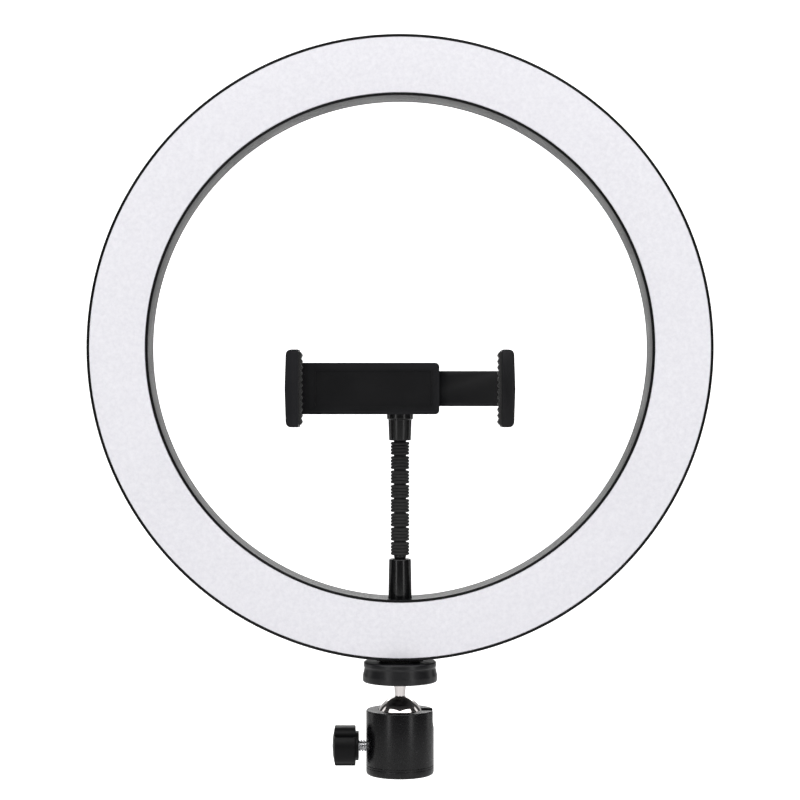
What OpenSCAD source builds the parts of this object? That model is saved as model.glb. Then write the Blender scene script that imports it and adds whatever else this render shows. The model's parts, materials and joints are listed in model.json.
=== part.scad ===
// Ring light with a phone holder on a small ball head.
// Millimetres, +Z up, the light faces -Y.
// The origin is the mouth of the tripod thread, in the middle of the ball head's underside.

/* [Ring] */
// Outer diameter of the ring
ring_od = 260; // [200:1:340]
// Radial width of the ring
ring_width = 25.4; // [24:0.2:40]
// Depth of the ring from lips to rear cover
ring_depth = 20; // [18:0.5:30]
// Thickness of the housing's walls
ring_wall = 2; // [1.6:0.1:2.8]
// Width of each black lip beside the diffuser
lip_w = 1.1; // [0.6:0.1:1.4]
// Thickness of the diffuser
diffuser_t = 2; // [1.4:0.1:3]
// Thickness of the rear cover
cover_t = 2.4; // [1.8:0.1:3.2]
// Rounding of the rear cover's rim
cover_round = 2; // [0.5:0.1:2.4]

/* [Light engine] */
// Radial width of the LED board
board_w = 10; // [8:0.2:11]
// Thickness of the LED board
board_t = 1.6; // [0.8:0.1:2.4]
// LED chips of each colour
chips_per_colour = 30; // [12:1:60]
// Side of one LED chip
chip_w = 2.8; // [1.6:0.1:3.2]
// Height of one LED chip
chip_h = 0.8; // [0.5:0.1:1.4]

/* [Fasteners] */
// Screws round the ring, for the cover and for the board
ring_screws = 6; // [4:2:6]
// Angle of the first of them round the ring
screw_start = 15; // [12:1:18]
// Shank radius of a housing screw
screw_shank_r = 1.25; // [0.9:0.05:1.5]
// Head radius of a housing screw
screw_head_r = 2.3; // [2:0.1:2.6]
// Head height of a housing screw
screw_head_h = 1.4; // [1:0.1:1.6]

/* [Cable gland] */
// Bore radius of the rubber cable gland
gland_bore_r = 2; // [1.2:0.1:2.6]
// Length of the gland behind the rear cover
gland_len = 9; // [5:0.5:14]
// Angle of the gland round the ring
gland_angle = 243; // [236:1:250]

/* [Tripod head] */
// Radius of the head's body
head_r = 14.2; // [12.5:0.1:18]
// Height of the head's body
head_h = 27; // [25:0.1:33]
// Radius of the steel ball
ball_r = 9.9; // [8.2:0.1:11]
// Depth of the ball's centre below the body's rim
ball_drop = 4.3; // [3:0.1:4.5]
// Radius of the neck where it leaves the ball
neck_r_low = 2.15; // [1.8:0.05:2.6]
// Radius of the neck under the platform
neck_r_high = 2.7; // [2.3:0.05:3.4]
// Free length of the neck between ball and platform
neck_len = 6.2; // [5:0.1:12]
// Width of the drop notch in the rim
notch_w = 7.3; // [6.6:0.1:8.4]
// Thread radius of the tripod socket and the platform stud
tripod_r = 3.175; // [2.4:0.005:4.8]
// Height of the base plug that carries the tripod socket
plug_h = 6.3; // [5:0.1:6.6]

/* [Platform] */
// Radius of the platform at its foot
platform_r = 15.6; // [13:0.1:19]
// Thickness of the platform
platform_t = 8.4; // [6.5:0.1:11]
// Radius of the ribbed rubber pad
pad_r = 8.6; // [7:0.1:12]
// Thickness of the rubber pad
pad_t = 1.2; // [0.8:0.1:2]
// Length of the stud above the pad
stud_len = 6; // [4:0.5:6.5]

/* [Lock knob] */
// Radius of the lock screw
lock_r = 2.5; // [2:0.1:2.7]
// Pitch of the lock screw's thread
lock_pitch = 1.06; // [0.5:0.01:1.25]
// Screw left bare between body and knob collar
lock_bare = 3.1; // [2.5:0.1:8]
// Radius of the knob
knob_r = 8.45; // [7.6:0.1:9.4]
// Length of the knob
knob_len = 9.7; // [7:0.1:14]
// Radius of the knob's collar
knob_collar_r = 6.15; // [4.5:0.1:6.8]

/* [Phone holder stem] */
// Height of the tapered sleeve at the stem's foot
foot_h = 15.9; // [12:0.1:24]
// Radius of the sleeve at its foot
foot_r = 4.9; // [4.4:0.01:5.6]
// Radius of the sleeve at its top
foot_top_r = 4.6; // [4:0.05:4.8]
// Radius over the gooseneck's ribs
goose_r = 4; // [3.8:0.1:4.4]
// Length of one gooseneck link
link_len = 6; // [5.6:0.1:8]
// Links in the gooseneck
links = 8; // [8]
// Radius of the stem's top block
block_r = 5.5; // [5:0.1:7]

/* [Phone holder clamp] */
// Gap between the jaw pads as the clamp stands
jaw_gap = 78.8; // [70:0.1:86]
// Smallest gap between the jaw pads
jaw_gap_min = 56; // [54:0.5:60]
// Height of each jaw
jaw_h = 31.3; // [24:0.1:40]
// Thickness of each jaw with its pad
jaw_t = 6.9; // [5.5:0.1:9]
// Thickness of each rubber pad
jaw_pad_t = 1.5; // [1:0.1:2.5]
// Depth of the jaws in front of the clamp's face
jaw_reach = 10.5; // [8:0.5:16]
// Height of the clamp's back
clamp_h = 21; // [19:0.5:26]
// Thickness of the clamp's front shell
shell_t = 7.5; // [7.2:0.1:10]
// Thickness of the clamp's rear cover
back_t = 2.5; // [2.2:0.1:4]
// Radius of the holder's ball
holder_ball_r = 5; // [4.6:0.1:5.6]

/* [Fits] */
// Clearance round a turning or sliding shaft
run_gap = 0.05; // [0.03:0.01:0.1]
// Clearance between sliding curved bodies
slip_gap = 0.1; // [0.08:0.01:0.15]

/* [Hidden] */
$fn = 64;
arc_steps = 6;

link_names = [for (i = [1:links]) str("gooseneck_link_", i)];

// Colours of the finishes
plastic_black = "#1c1c1e";
satin_black = "#26262a";
rubber_black = "#161616";
diffuser_white = "#ecebf0";
board_white = "#f4f4f0";
chip_warm = "#ffe2a0";
chip_cool = "#fff7c8";
steel = "#c8c8cc";
chrome = "#dcdce0";
brass = "#c8a24a";
nylon = "#e8e4d8";

// Ring: its own frame has +Z towards the front
ring_or = ring_od / 2;
ring_ir = ring_or - ring_width;
front_z = ring_depth / 2;
back_z = -ring_depth / 2;
seam_z = back_z + cover_t;
ledge_t = 1.6;
ledge_w = 0.9;
diffuser_gap = 0.05;
diffuser_sink = 0.15;
lip_round = 0.45;
cover_rib_h = 1.5;
cover_rib_t = 1.2;
bridge_w = 2;
bridge_root = 0.6;
bridge_z = seam_z + cover_rib_h + 0.2;
boss_wall = 1.75;
boss_r = screw_shank_r + boss_wall;
boss_at = ring_or - ring_wall - boss_r + 0.4;
standoff_h = 4.2;
board_z = seam_z + standoff_h;
board_out = boss_at - boss_r - 0.6;
board_in = board_out - board_w;
board_screw_at = board_in + screw_head_r + 0.2;
chip_at = (board_screw_at + screw_head_r + board_out) / 2;
chip_slots = 2 * chips_per_colour;
head_sink = 1.5;
screw_bite = 6;
board_screw_len = 5;
gland_neck_r = gland_bore_r + 1.4;
gland_tip_r = gland_bore_r + 0.9;
gland_root_r = gland_bore_r + 2;
gland_flange_t = 1.2;
gland_at = (ring_or + ring_ir) / 2;

// Tripod head
bore_r = ball_r + slip_gap;
plug_r = bore_r + 0.5;
plug_gap = 0.03;
ball_z = head_h - ball_drop;
rim_round = 0.9;
foot_round = 1.3;
notch_floor = ball_z + 0.25;
lock_z = ball_z - ball_r - 1.0;
wedge_angle = 30;
wedge_slope = tan(wedge_angle);
wedge_tip_r = 0.6;
wedge_len = 3;
socket_lead = 0.6;
socket_reach = 4.2;
lock_travel = 1.5 * lock_pitch;
lifter_drop = lock_travel * wedge_slope;
lifter_in = ball_r * 0.71;
lifter_top = lock_z + lock_r + 1;
lifter_bottom = plug_h + lifter_drop + 0.15;
seat_bottom = lifter_top + run_gap;
seat_h = 3.5;
lock_face = -head_r;
knob_collar_t = 1.35;
knob_collar_x = lock_face - lock_bare;
knob_inner_x = knob_collar_x - knob_collar_t;
knob_outer_x = knob_inner_x - knob_len;
knob_notches = 3;
knob_notch_r = 3.2;
knob_notch_angle = 70;
knob_socket = 5;
knob_edge = 0.6;
knob_dome = 1.5;

// Platform
platform_z = ball_z + ball_r + neck_len;
platform_top_z = platform_z + platform_t;
platform_top_r = platform_r - 0.4;
platform_waist_r = platform_r - 0.55;
platform_round = 1.6;
pad_top_z = platform_top_z + pad_t;
neck_socket = 4;
pad_teeth = 48;
pad_tooth_r = 0.3;
stud_flange_r = tripod_r + 1.6;
stud_flange_t = 1.4;

// Ring's place above the head
ring_z = pad_top_z + ring_or;
seat_half_w = pad_r + 1;
ring_seat_t = 1.5;
insert_r = tripod_r + 1.5;
insert_len = 6.8;
insert_boss_r = insert_r + 1.3;
insert_boss_top = insert_len + 0.9;

// Stem
inner_floor_z = ring_z - ring_ir;
stem_seat_h = 0.5;
stem_seat_r = foot_r + 0.1;
foot_z = inner_floor_z + stem_seat_h;
foot_top_z = foot_z + foot_h;
spigot_r = 3;
nut_r = 5.2;
nut_t = 3.2;
nut_z = inner_floor_z - ring_wall - nut_t;
spigot_z = nut_z - 0.4;
rib_r = 0.7;
core_r = goose_r - 0.55;
joint_ball_r = 2.6;
joint_neck_r = 1.7;
half_gap = 0.3;
hinge_z = foot_top_z + 1.2;
function link_z(i) = hinge_z + i * link_len;
stem_head_z = link_z(links);
stem_sleeve_h = 9;
stem_sleeve_r = foot_r;

// Clamp: the holder's ball stands in front of the stem's top block
holder_rise = 12.9;
block_above = 6;
block_chamfer = 2;
holder_z = stem_head_z + stem_sleeve_h + holder_rise;
block_top = holder_z + block_above;
pin_shank_r = 2.2;
pin_neck_len = 1.2;
pin_socket = 3;
holder_ball_y = -(block_r + pin_neck_len + holder_ball_r);
cup_wall = 0.95;
cup_out_r = holder_ball_r + cup_wall;
cup_floor_t = 0.5;
cup_front_y = holder_ball_y - holder_ball_r - cup_floor_t;
cup_rear_y = holder_ball_y + holder_ball_r * 0.45;
cup_mouth_r = holder_ball_r * 0.87;
clamp_behind_ball = 3.8;
clamp_rear_y = holder_ball_y - clamp_behind_ball;
clamp_seam_y = clamp_rear_y - back_t;
clamp_face_y = clamp_seam_y - shell_t;
jaw_front_y = clamp_face_y - jaw_reach;
cup_boss_wall = 1.05;
boss_out_r = cup_out_r + run_gap + cup_boss_wall;
boss_rear_y = cup_rear_y - 0.2;
collar_wall = 1.5;
collar_r = boss_out_r + collar_wall;
collar_lip_t = 1.1;
collar_rear_y = cup_rear_y + 0.15 + collar_lip_t;
collar_front_y = clamp_rear_y + 0.3;
collar_flutes = 18;
jaw_in = jaw_gap / 2;
jaw_out = jaw_in + jaw_t;
close_travel = jaw_gap - jaw_gap_min;
open_travel = 9;
body_right = jaw_in - close_travel - 0.6;
left_wall_t = 3.4;
channel_left = -jaw_in + left_wall_t;
channel_d = 5.4;
channel_front_y = clamp_seam_y - channel_d;
tongue_t = 3.4;
screw_rail_h = 3.2;
tongue_h = clamp_h - 2 * screw_rail_h - 2 * slip_gap;
tongue_rear_y = clamp_seam_y - 0.1;
tongue_left = channel_left + close_travel + 1;
fork_gap = 7;
spring_r = 2.4;
spring_wire = 0.5;
spring_left = channel_left + 2.4;
spring_right = body_right - 8;
spring_y = (clamp_seam_y + channel_front_y) / 2;
jaw_round_top = 3.3;
jaw_round_low = 2;
jaw_bulge = 0.5;
pad_inset = 1;
clamp_round = 2;
clamp_screw_r = 0.9;
clamp_screw_head_r = 1.6;
clamp_screw_head_h = 1.1;
clamp_screw_x = [channel_left - left_wall_t / 2, body_right - 2.2];
clamp_screw_z = clamp_h / 2 - clamp_screw_head_r - 0.25;
clamp_screw_len = 5;

// Points of an arc in a section, from one angle to another
function arc(cx, cy, r, from, to) =
  [for (i = [0:arc_steps]) let (a = from + (to - from) * i / arc_steps) [cx + r * cos(a), cy + r * sin(a)]];

module tube(r_out, r_in, h) {
  difference() {
    cylinder(r = r_out, h = h);
    translate([0, 0, -1]) cylinder(r = r_in, h = h + 2);
  }
}

// Puts the ring's own frame at its place, front towards -Y
module in_ring() {
  translate([0, 0, ring_z]) rotate([90, 0, 0]) children();
}

// Repeats a piece round the ring at the screws' angles
module round_ring(radius) {
  for (i = [0:ring_screws - 1]) rotate([0, 0, screw_start + i * 360 / ring_screws])
    translate([radius, 0, 0]) children();
}

// A cylinder along X, Y or Z between two places
module along_x(r, x1, x2) {
  translate([x1, 0, 0]) rotate([0, 90, 0]) cylinder(r = r, h = x2 - x1);
}

module along_y(r, y1, y2) {
  translate([0, y1, 0]) rotate([-90, 0, 0]) cylinder(r = r, h = y2 - y1);
}

module along_z(r, z1, z2) {
  translate([0, 0, z1]) cylinder(r = r, h = z2 - z1);
}

// ---- Ring ----

module wall_section(r_face, side) {
  // One wall of the channel: lip, ledge and skirt; side is 1 outward for the outer wall
  lip_r = r_face - side * lip_w;
  ledge_r = r_face - side * (ring_wall + ledge_w);
  skirt_r = r_face - side * ring_wall;
  ledge_top = front_z - diffuser_t - diffuser_sink;
  round_at = r_face - side * lip_round;
  corner = [for (i = [0:arc_steps]) let (a = 90 * i / arc_steps)
    [round_at + side * lip_round * cos(a), front_z - lip_round + lip_round * sin(a)]];
  polygon(concat([[r_face, seam_z]], corner, [
    [lip_r, front_z], [lip_r, ledge_top], [ledge_r, ledge_top],
    [ledge_r, ledge_top - ledge_t], [skirt_r, ledge_top - ledge_t - ledge_w], [skirt_r, seam_z]]));
}

module ring_housing() color(plastic_black) {
  difference() {
    union() {
      in_ring() {
        rotate_extrude($fn = 180) wall_section(ring_or, 1);
        rotate_extrude($fn = 180) wall_section(ring_ir, -1);
        // Bridges behind the board tie the two walls together
        for (i = [0:ring_screws - 1]) rotate([0, 0, screw_start + (i + 0.5) * 360 / ring_screws])
          translate([ring_ir + ring_wall - bridge_root, -bridge_w / 2, bridge_z])
            cube([ring_width - 2 * ring_wall + 2 * bridge_root, bridge_w, board_z - 0.4 - bridge_z]);
        round_ring(boss_at) translate([0, 0, seam_z + 0.2])
          cylinder(r = boss_r, h = front_z - diffuser_t - diffuser_sink - ledge_t - seam_z);
      }
      // Flat seat under the ring and the boss round the brass insert
      translate([-seat_half_w, lip_round - front_z, pad_top_z])
        cube([2 * seat_half_w, front_z - lip_round - seam_z, ring_seat_t]);
      along_z(insert_boss_r, pad_top_z, pad_top_z + insert_boss_top);
      // Flat seat of the phone holder's stem
      along_z(stem_seat_r, inner_floor_z - ring_wall, foot_z);
    }
    along_z(insert_r, pad_top_z - 1, pad_top_z + insert_len);
    along_z(spigot_r + run_gap, inner_floor_z - ring_wall - 1, foot_z + 1);
    in_ring() round_ring(boss_at) translate([0, 0, seam_z - 1])
      cylinder(r = screw_shank_r, h = screw_bite + 2);
  }
}

module cover_section() {
  r1 = ring_ir;
  r2 = ring_or;
  polygon(concat(
    [[r1, seam_z]],
    arc(r1 + cover_round, back_z + cover_round, cover_round, 180, 270),
    arc(r2 - cover_round, back_z + cover_round, cover_round, 270, 360),
    [[r2, seam_z],
     [r2 - ring_wall - slip_gap, seam_z],
     [r2 - ring_wall - slip_gap, seam_z + cover_rib_h],
     [r2 - ring_wall - cover_rib_t, seam_z + cover_rib_h],
     [r2 - ring_wall - cover_rib_t, seam_z - 0.6],
     [r1 + ring_wall + cover_rib_t, seam_z - 0.6],
     [r1 + ring_wall + cover_rib_t, seam_z + cover_rib_h],
     [r1 + ring_wall + slip_gap, seam_z + cover_rib_h],
     [r1 + ring_wall + slip_gap, seam_z]]));
}

module rear_cover() color(plastic_black) in_ring() difference() {
  union() {
    difference() {
      rotate_extrude($fn = 180) cover_section();
      round_ring(boss_at) translate([0, 0, seam_z - 0.6]) cylinder(r = boss_r + 0.3, h = 4);
    }
    round_ring(boss_at) translate([0, 0, back_z + 0.2]) cylinder(r = boss_r, h = cover_t - 0.2);
    round_ring(board_screw_at) translate([0, 0, back_z + 1]) cylinder(r = boss_r, h = board_z - back_z - 1);
  }
  round_ring(boss_at) {
    translate([0, 0, back_z - 1]) cylinder(r = screw_shank_r + 0.2, h = cover_t + 2);
    translate([0, 0, back_z - 1]) cylinder(r = screw_head_r + 0.25, h = 1 + head_sink);
  }
  round_ring(board_screw_at) translate([0, 0, board_z - board_screw_len + 1])
    cylinder(r = screw_shank_r, h = board_screw_len);
  rotate([0, 0, gland_angle]) translate([gland_at, 0, back_z - 1])
    cylinder(r = gland_neck_r, h = cover_t + 2);
}

module diffuser() color(diffuser_white) in_ring()
  translate([0, 0, front_z - diffuser_sink - diffuser_t]) difference() {
    cylinder(r = ring_or - lip_w - diffuser_gap, h = diffuser_t, $fn = 180);
    translate([0, 0, -1]) cylinder(r = ring_ir + lip_w + diffuser_gap, h = diffuser_t + 2, $fn = 180);
  }

module led_board() color(board_white) in_ring() difference() {
  translate([0, 0, board_z]) tube(board_out, board_in, board_t, $fn = 128);
  round_ring(board_screw_at) translate([0, 0, board_z - 1])
    cylinder(r = screw_shank_r + 0.2, h = board_t + 2);
}

module led_chips(first) {
  in_ring() for (i = [first:2:chip_slots - 1]) rotate([0, 0, (i + 0.5) * 360 / chip_slots])
    translate([chip_at - chip_w / 2, -chip_w / 2, board_z + board_t]) cube([chip_w, chip_w, chip_h]);
}

module led_chips_warm() color(chip_warm) led_chips(0);

module led_chips_cool() color(chip_cool) led_chips(1);

// A pan-head screw, head downward on Z = 0, shank along +Z
module pan_screw(shank_r, head_r, head_h, len) {
  translate([0, 0, -head_h]) cylinder(r = head_r, h = head_h);
  cylinder(r = shank_r, h = len);
}

module board_screws() color(steel) in_ring()
  round_ring(board_screw_at) translate([0, 0, board_z + board_t]) rotate([180, 0, 0])
    pan_screw(screw_shank_r, screw_head_r, screw_head_h, board_screw_len);

module cover_screws() color(steel) in_ring()
  round_ring(boss_at) translate([0, 0, back_z + head_sink])
    pan_screw(screw_shank_r, screw_head_r, screw_head_h, screw_bite);

module cable_gland() color(rubber_black) in_ring()
  rotate([0, 0, gland_angle]) translate([gland_at, 0, 0]) difference() {
    union() {
      translate([0, 0, seam_z - 0.6]) cylinder(r = gland_root_r, h = gland_flange_t);
      translate([0, 0, back_z]) cylinder(r = gland_neck_r, h = cover_t);
      translate([0, 0, back_z - 1.5]) cylinder(r = gland_root_r, h = 1.5);
      translate([0, 0, back_z - gland_len])
        cylinder(r1 = gland_tip_r, r2 = gland_neck_r, h = gland_len - 1);
    }
    translate([0, 0, back_z - gland_len - 1])
      cylinder(r = gland_bore_r, h = gland_len + cover_t + gland_flange_t + 4);
  }

module mount_insert() color(brass) difference() {
  along_z(insert_r, pad_top_z, pad_top_z + insert_len);
  along_z(tripod_r + run_gap, pad_top_z - 1, pad_top_z + insert_len + 1);
}

// ---- Tripod head ----

module head_body() color(satin_black) difference() {
  rotate_extrude($fn = 96) polygon(concat(
    [[0, 0]],
    arc(head_r - foot_round, foot_round, foot_round, 270, 360),
    arc(head_r - rim_round, head_h - rim_round, rim_round, 0, 90),
    [[0, head_h]]));
  along_z(plug_r + plug_gap, -1, plug_h);
  along_z(bore_r, plug_h - 1, ball_z);
  translate([0, 0, ball_z]) sphere(r = bore_r, $fn = 96);
  along_z(sqrt(pow(bore_r, 2) - pow(ball_drop, 2)), ball_z, head_h + 1);
  translate([0, 0, lock_z]) along_x(lock_r + run_gap, -head_r - 1, -bore_r + 1);
  // Drop notch: straight sides down to a half-round floor
  translate([0, 0, notch_floor]) along_x(notch_w / 2, ball_r / 2, head_r + 1);
  translate([ball_r / 2, -notch_w / 2, notch_floor]) cube([head_r, notch_w, head_h]);
}

module base_plug() color(satin_black) difference() {
  along_z(plug_r, 0, plug_h);
  along_z(tripod_r, -1, plug_h + 1);
}

// Cone on the lock screw's axis, shared by the wedge pin and the lifter's socket
module wedge_cone(grow, x_base, reach) {
  r_base = lock_r + grow;
  translate([0, 0, lock_z]) rotate([0, 90, 0]) translate([0, 0, x_base])
    cylinder(r1 = r_base, r2 = r_base - reach * wedge_slope, h = reach);
}

module lifter() color(brass) difference() {
  along_z(ball_r, lifter_bottom, lifter_top);
  along_z(lifter_in, lifter_bottom - 1, lifter_top + 1);
  wedge_cone(slip_gap + socket_lead * wedge_slope, -ball_r - socket_lead, socket_reach);
}

module wedge_pin() color(brass) {
  cone_len = (lock_r - wedge_tip_r) / wedge_slope;
  translate([0, 0, lock_z]) along_x(lock_r, -ball_r - wedge_len, -ball_r);
  wedge_cone(0, -ball_r, cone_len);
}

module ball_seat() color(nylon) difference() {
  along_z(ball_r, seat_bottom, seat_bottom + seat_h);
  translate([0, 0, ball_z]) sphere(r = ball_r + run_gap, $fn = 96);
}

module ball_stud() color(chrome) {
  overlap = 0.6;
  translate([0, 0, ball_z]) sphere(r = ball_r, $fn = 96);
  translate([0, 0, ball_z + ball_r - overlap])
    cylinder(r1 = neck_r_low, r2 = neck_r_high, h = neck_len + overlap);
  along_z(neck_r_high, platform_z - 0.01, platform_z + neck_socket);
}

module lock_screw() color(steel) translate([0, 0, lock_z])
  along_x(lock_r, knob_inner_x - knob_socket, -ball_r - wedge_len);

module lock_knob() color(plastic_black) translate([0, 0, lock_z]) difference() {
  union() {
    difference() {
      rotate([0, -90, 0]) translate([0, 0, -knob_inner_x]) rotate_extrude() polygon([
        [0, 0],
        [knob_r - knob_edge, 0],
        [knob_r, knob_edge],
        [knob_r, knob_len - knob_dome - knob_edge],
        [knob_r - knob_edge, knob_len - knob_dome],
        [knob_r * 0.55, knob_len - 0.2 * knob_dome],
        [0, knob_len]]);
      for (i = [0:knob_notches - 1]) rotate([knob_notch_angle + 180 - i * 360 / knob_notches, 0, 0])
        translate([0, knob_r + knob_notch_r * 0.45, 0])
          along_x(knob_notch_r, knob_outer_x - 1, knob_inner_x + 1);
    }
    along_x(knob_collar_r, knob_inner_x - 0.5, knob_collar_x);
  }
  along_x(lock_r + run_gap, knob_inner_x - knob_socket, knob_collar_x + 1);
}

module platform() color(satin_black) difference() {
  rotate_extrude($fn = 96) translate([0, platform_z]) polygon(concat(
    [[0, 0]],
    arc(platform_r - platform_round, platform_round, platform_round, 270, 360),
    [[platform_waist_r, platform_t * 0.62]],
    arc(platform_top_r - platform_round, platform_t - platform_round, platform_round, 0, 90),
    [[0, platform_t]]));
  along_z(neck_r_high + 0.02, platform_z - 1, platform_z + neck_socket);
  along_z(stud_flange_r + 0.02, platform_top_z - stud_flange_t, platform_top_z + 1);
}

module platform_stud() color(steel) {
  along_z(stud_flange_r, platform_top_z - stud_flange_t, platform_top_z);
  along_z(tripod_r, platform_top_z, pad_top_z + stud_len);
}

module platform_pad() color(rubber_black) difference() {
  along_z(pad_r, platform_top_z, pad_top_z);
  along_z(tripod_r + 0.3, platform_top_z - 1, pad_top_z + 1);
  for (i = [0:pad_teeth - 1]) rotate([0, 0, i * 360 / pad_teeth])
    translate([pad_r, 0, platform_top_z - 1]) cylinder(r = pad_tooth_r, h = pad_t + 2, $fn = 4);
}

// ---- Stem of the phone holder ----

module joint_ball(z) {
  along_z(joint_neck_r, z - 1.6, z);
  translate([0, 0, z]) sphere(r = joint_ball_r, $fn = 48);
}

module joint_cup(z) {
  translate([0, 0, z]) sphere(r = joint_ball_r + run_gap, $fn = 48);
}

module stem_foot() color(satin_black) {
  translate([0, 0, foot_z]) cylinder(r1 = foot_r, r2 = foot_top_r, h = foot_h);
  along_z(spigot_r, spigot_z, foot_z);
  joint_ball(hinge_z);
}

module stem_nut() color(steel) difference() {
  translate([0, 0, nut_z]) cylinder(r = nut_r, h = nut_t, $fn = 6);
  along_z(spigot_r + run_gap, nut_z - 1, nut_z + nut_t + 1);
}

module gooseneck_link(i) {
  z1 = link_z(i - 1);
  z2 = link_z(i);
  color(rubber_black) difference() {
    union() {
      along_z(core_r, z1 + half_gap, z2 - half_gap);
      for (k = [1, 3]) translate([0, 0, z1 + k * link_len / 4])
        rotate_extrude() translate([goose_r - rib_r, 0]) circle(r = rib_r, $fn = 24);
      joint_ball(z2);
    }
    joint_cup(z1);
  }
}

module stem_head() color(satin_black) difference() {
  union() {
    translate([0, 0, stem_head_z + half_gap])
      cylinder(r1 = foot_top_r, r2 = stem_sleeve_r, h = stem_sleeve_h);
    along_z(block_r, stem_head_z + stem_sleeve_h, block_top - block_chamfer);
    translate([0, 0, block_top - block_chamfer])
      cylinder(r1 = block_r, r2 = block_r - block_chamfer, h = block_chamfer);
  }
  joint_cup(stem_head_z);
  translate([0, 0, holder_z]) along_y(pin_shank_r + 0.02, -block_r - 1, -block_r + pin_socket);
}

module holder_ball_pin() color(steel) translate([0, 0, holder_z]) {
  translate([0, holder_ball_y, 0]) sphere(r = holder_ball_r, $fn = 64);
  along_y(pin_shank_r, holder_ball_y, -block_r + pin_socket);
}

// ---- Clamp of the phone holder ----

module socket_cup() color(nylon)
  translate([0, holder_ball_y, holder_z]) rotate([-90, 0, 0]) difference() {
    along_z(cup_out_r, cup_front_y - holder_ball_y, cup_rear_y - holder_ball_y);
    sphere(r = holder_ball_r + run_gap, $fn = 64);
    along_z(holder_ball_r * 0.4, cup_front_y - holder_ball_y - 1, 0);
  }

module socket_collar() color(plastic_black) translate([0, 0, holder_z]) difference() {
  along_y(collar_r, collar_front_y, collar_rear_y);
  along_y(boss_out_r + run_gap, collar_front_y - 1, collar_rear_y - collar_lip_t);
  along_y(cup_mouth_r + 0.1, collar_front_y, collar_rear_y + 1);
  for (i = [0:collar_flutes - 1]) rotate([0, i * 360 / collar_flutes, 0])
    translate([collar_r + 0.5, 0, 0]) along_y(1, collar_front_y - 1, collar_rear_y + 1);
}

// Outline of a plate in X and Z with rounded corners on the ends that ask for it
module plate(x1, x2, h, y1, y2, r) {
  translate([0, y2, holder_z]) rotate([90, 0, 0]) linear_extrude(y2 - y1) {
    translate([x1 + r, -h / 2]) square([x2 - x1 - 2 * r, h]);
    translate([x1, -h / 2 + r]) square([x2 - x1, h - 2 * r]);
    for (x = [x1 + r, x2 - r], z = [-h / 2 + r, h / 2 - r]) translate([x, z]) circle(r = r);
  }
}

// Outline of one jaw seen from the front; the pad side is straight, the outer side bulges
module jaw_outline(inset) {
  top = jaw_h / 2;
  mid_r = (pow(jaw_h / 2, 2) + pow(jaw_bulge, 2)) / (2 * jaw_bulge);
  intersection() {
    polygon(concat(
      [[jaw_in + inset, -top], [jaw_in + inset, top]],
      arc(jaw_out - jaw_round_top, top - jaw_round_top, jaw_round_top, 90, 0),
      arc(jaw_out - jaw_round_low, -top + jaw_round_low, jaw_round_low, 0, -90)));
    translate([jaw_out - mid_r, 0]) circle(r = mid_r, $fn = 360);
  }
}

module jaw(side) {
  mirror([side < 0 ? 1 : 0, 0, 0]) translate([0, clamp_rear_y, holder_z]) rotate([90, 0, 0])
    linear_extrude(clamp_rear_y - jaw_front_y) jaw_outline(jaw_pad_t);
}

module jaw_pad(side) {
  mirror([side < 0 ? 1 : 0, 0, 0])
    translate([jaw_in, jaw_front_y + pad_inset, holder_z - jaw_h / 2 + pad_inset])
      cube([jaw_pad_t, clamp_face_y - jaw_front_y - pad_inset - 0.2, jaw_h - 2 * pad_inset]);
}

module at_clamp_screws() {
  for (x = clamp_screw_x, side = [-1, 1]) translate([x, clamp_rear_y, holder_z + side * clamp_screw_z])
    rotate([90, 0, 0]) children();
}

module clamp_cover() color(plastic_black) difference() {
  union() {
    plate(channel_left - left_wall_t, body_right, clamp_h, clamp_seam_y, clamp_rear_y, clamp_round);
    translate([0, 0, holder_z]) along_y(boss_out_r, clamp_rear_y - 1, boss_rear_y);
  }
  translate([0, 0, holder_z]) along_y(cup_out_r + run_gap, cup_front_y - 0.2, boss_rear_y + 1);
  at_clamp_screws() {
    translate([0, 0, -1]) cylinder(r = clamp_screw_r + 0.15, h = back_t + 2);
    translate([0, 0, -1]) cylinder(r = clamp_screw_head_r + 0.15, h = 1 + clamp_screw_head_h);
  }
}

module clamp_shell() color(plastic_black) difference() {
  union() {
    plate(channel_left - left_wall_t, body_right, clamp_h, clamp_face_y, clamp_seam_y, clamp_round);
    difference() {
      jaw(-1);
      // The rear cover closes the shell up to the jaw's root
      translate([-jaw_in - jaw_pad_t + 1, clamp_seam_y, holder_z - clamp_h]) cube([20, 20, 2 * clamp_h]);
    }
    translate([-jaw_in - jaw_pad_t - 1, clamp_face_y, holder_z - clamp_h / 2])
      cube([jaw_pad_t + 5, shell_t, clamp_h]);
  }
  translate([channel_left, channel_front_y, holder_z - tongue_h / 2 - slip_gap])
    cube([body_right - channel_left + 1, shell_t, tongue_h + 2 * slip_gap]);
  at_clamp_screws() translate([0, 0, back_t - 1]) cylinder(r = clamp_screw_r, h = clamp_screw_len);
}

module clamp_screws() color(steel) at_clamp_screws() translate([0, 0, clamp_screw_head_h])
  pan_screw(clamp_screw_r, clamp_screw_head_r, clamp_screw_head_h - 0.1, clamp_screw_len - 0.6);

module slide_arm() color(plastic_black) {
  difference() {
    translate([tongue_left, tongue_rear_y - tongue_t, holder_z - tongue_h / 2])
      cube([jaw_in + jaw_pad_t + 1 - tongue_left, tongue_t, tongue_h]);
    translate([tongue_left - 1, tongue_rear_y - tongue_t - 1, holder_z - fork_gap / 2])
      cube([spring_right - tongue_left + 1, tongue_t + 2, fork_gap]);
  }
  jaw(1);
}

module clamp_spring() color(steel) translate([0, spring_y, holder_z]) difference() {
  along_x(spring_r, spring_left, spring_right);
  along_x(spring_r - spring_wire, spring_left - 1, spring_right + 1);
}

module fixed_pad() color(rubber_black) jaw_pad(-1);

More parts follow.
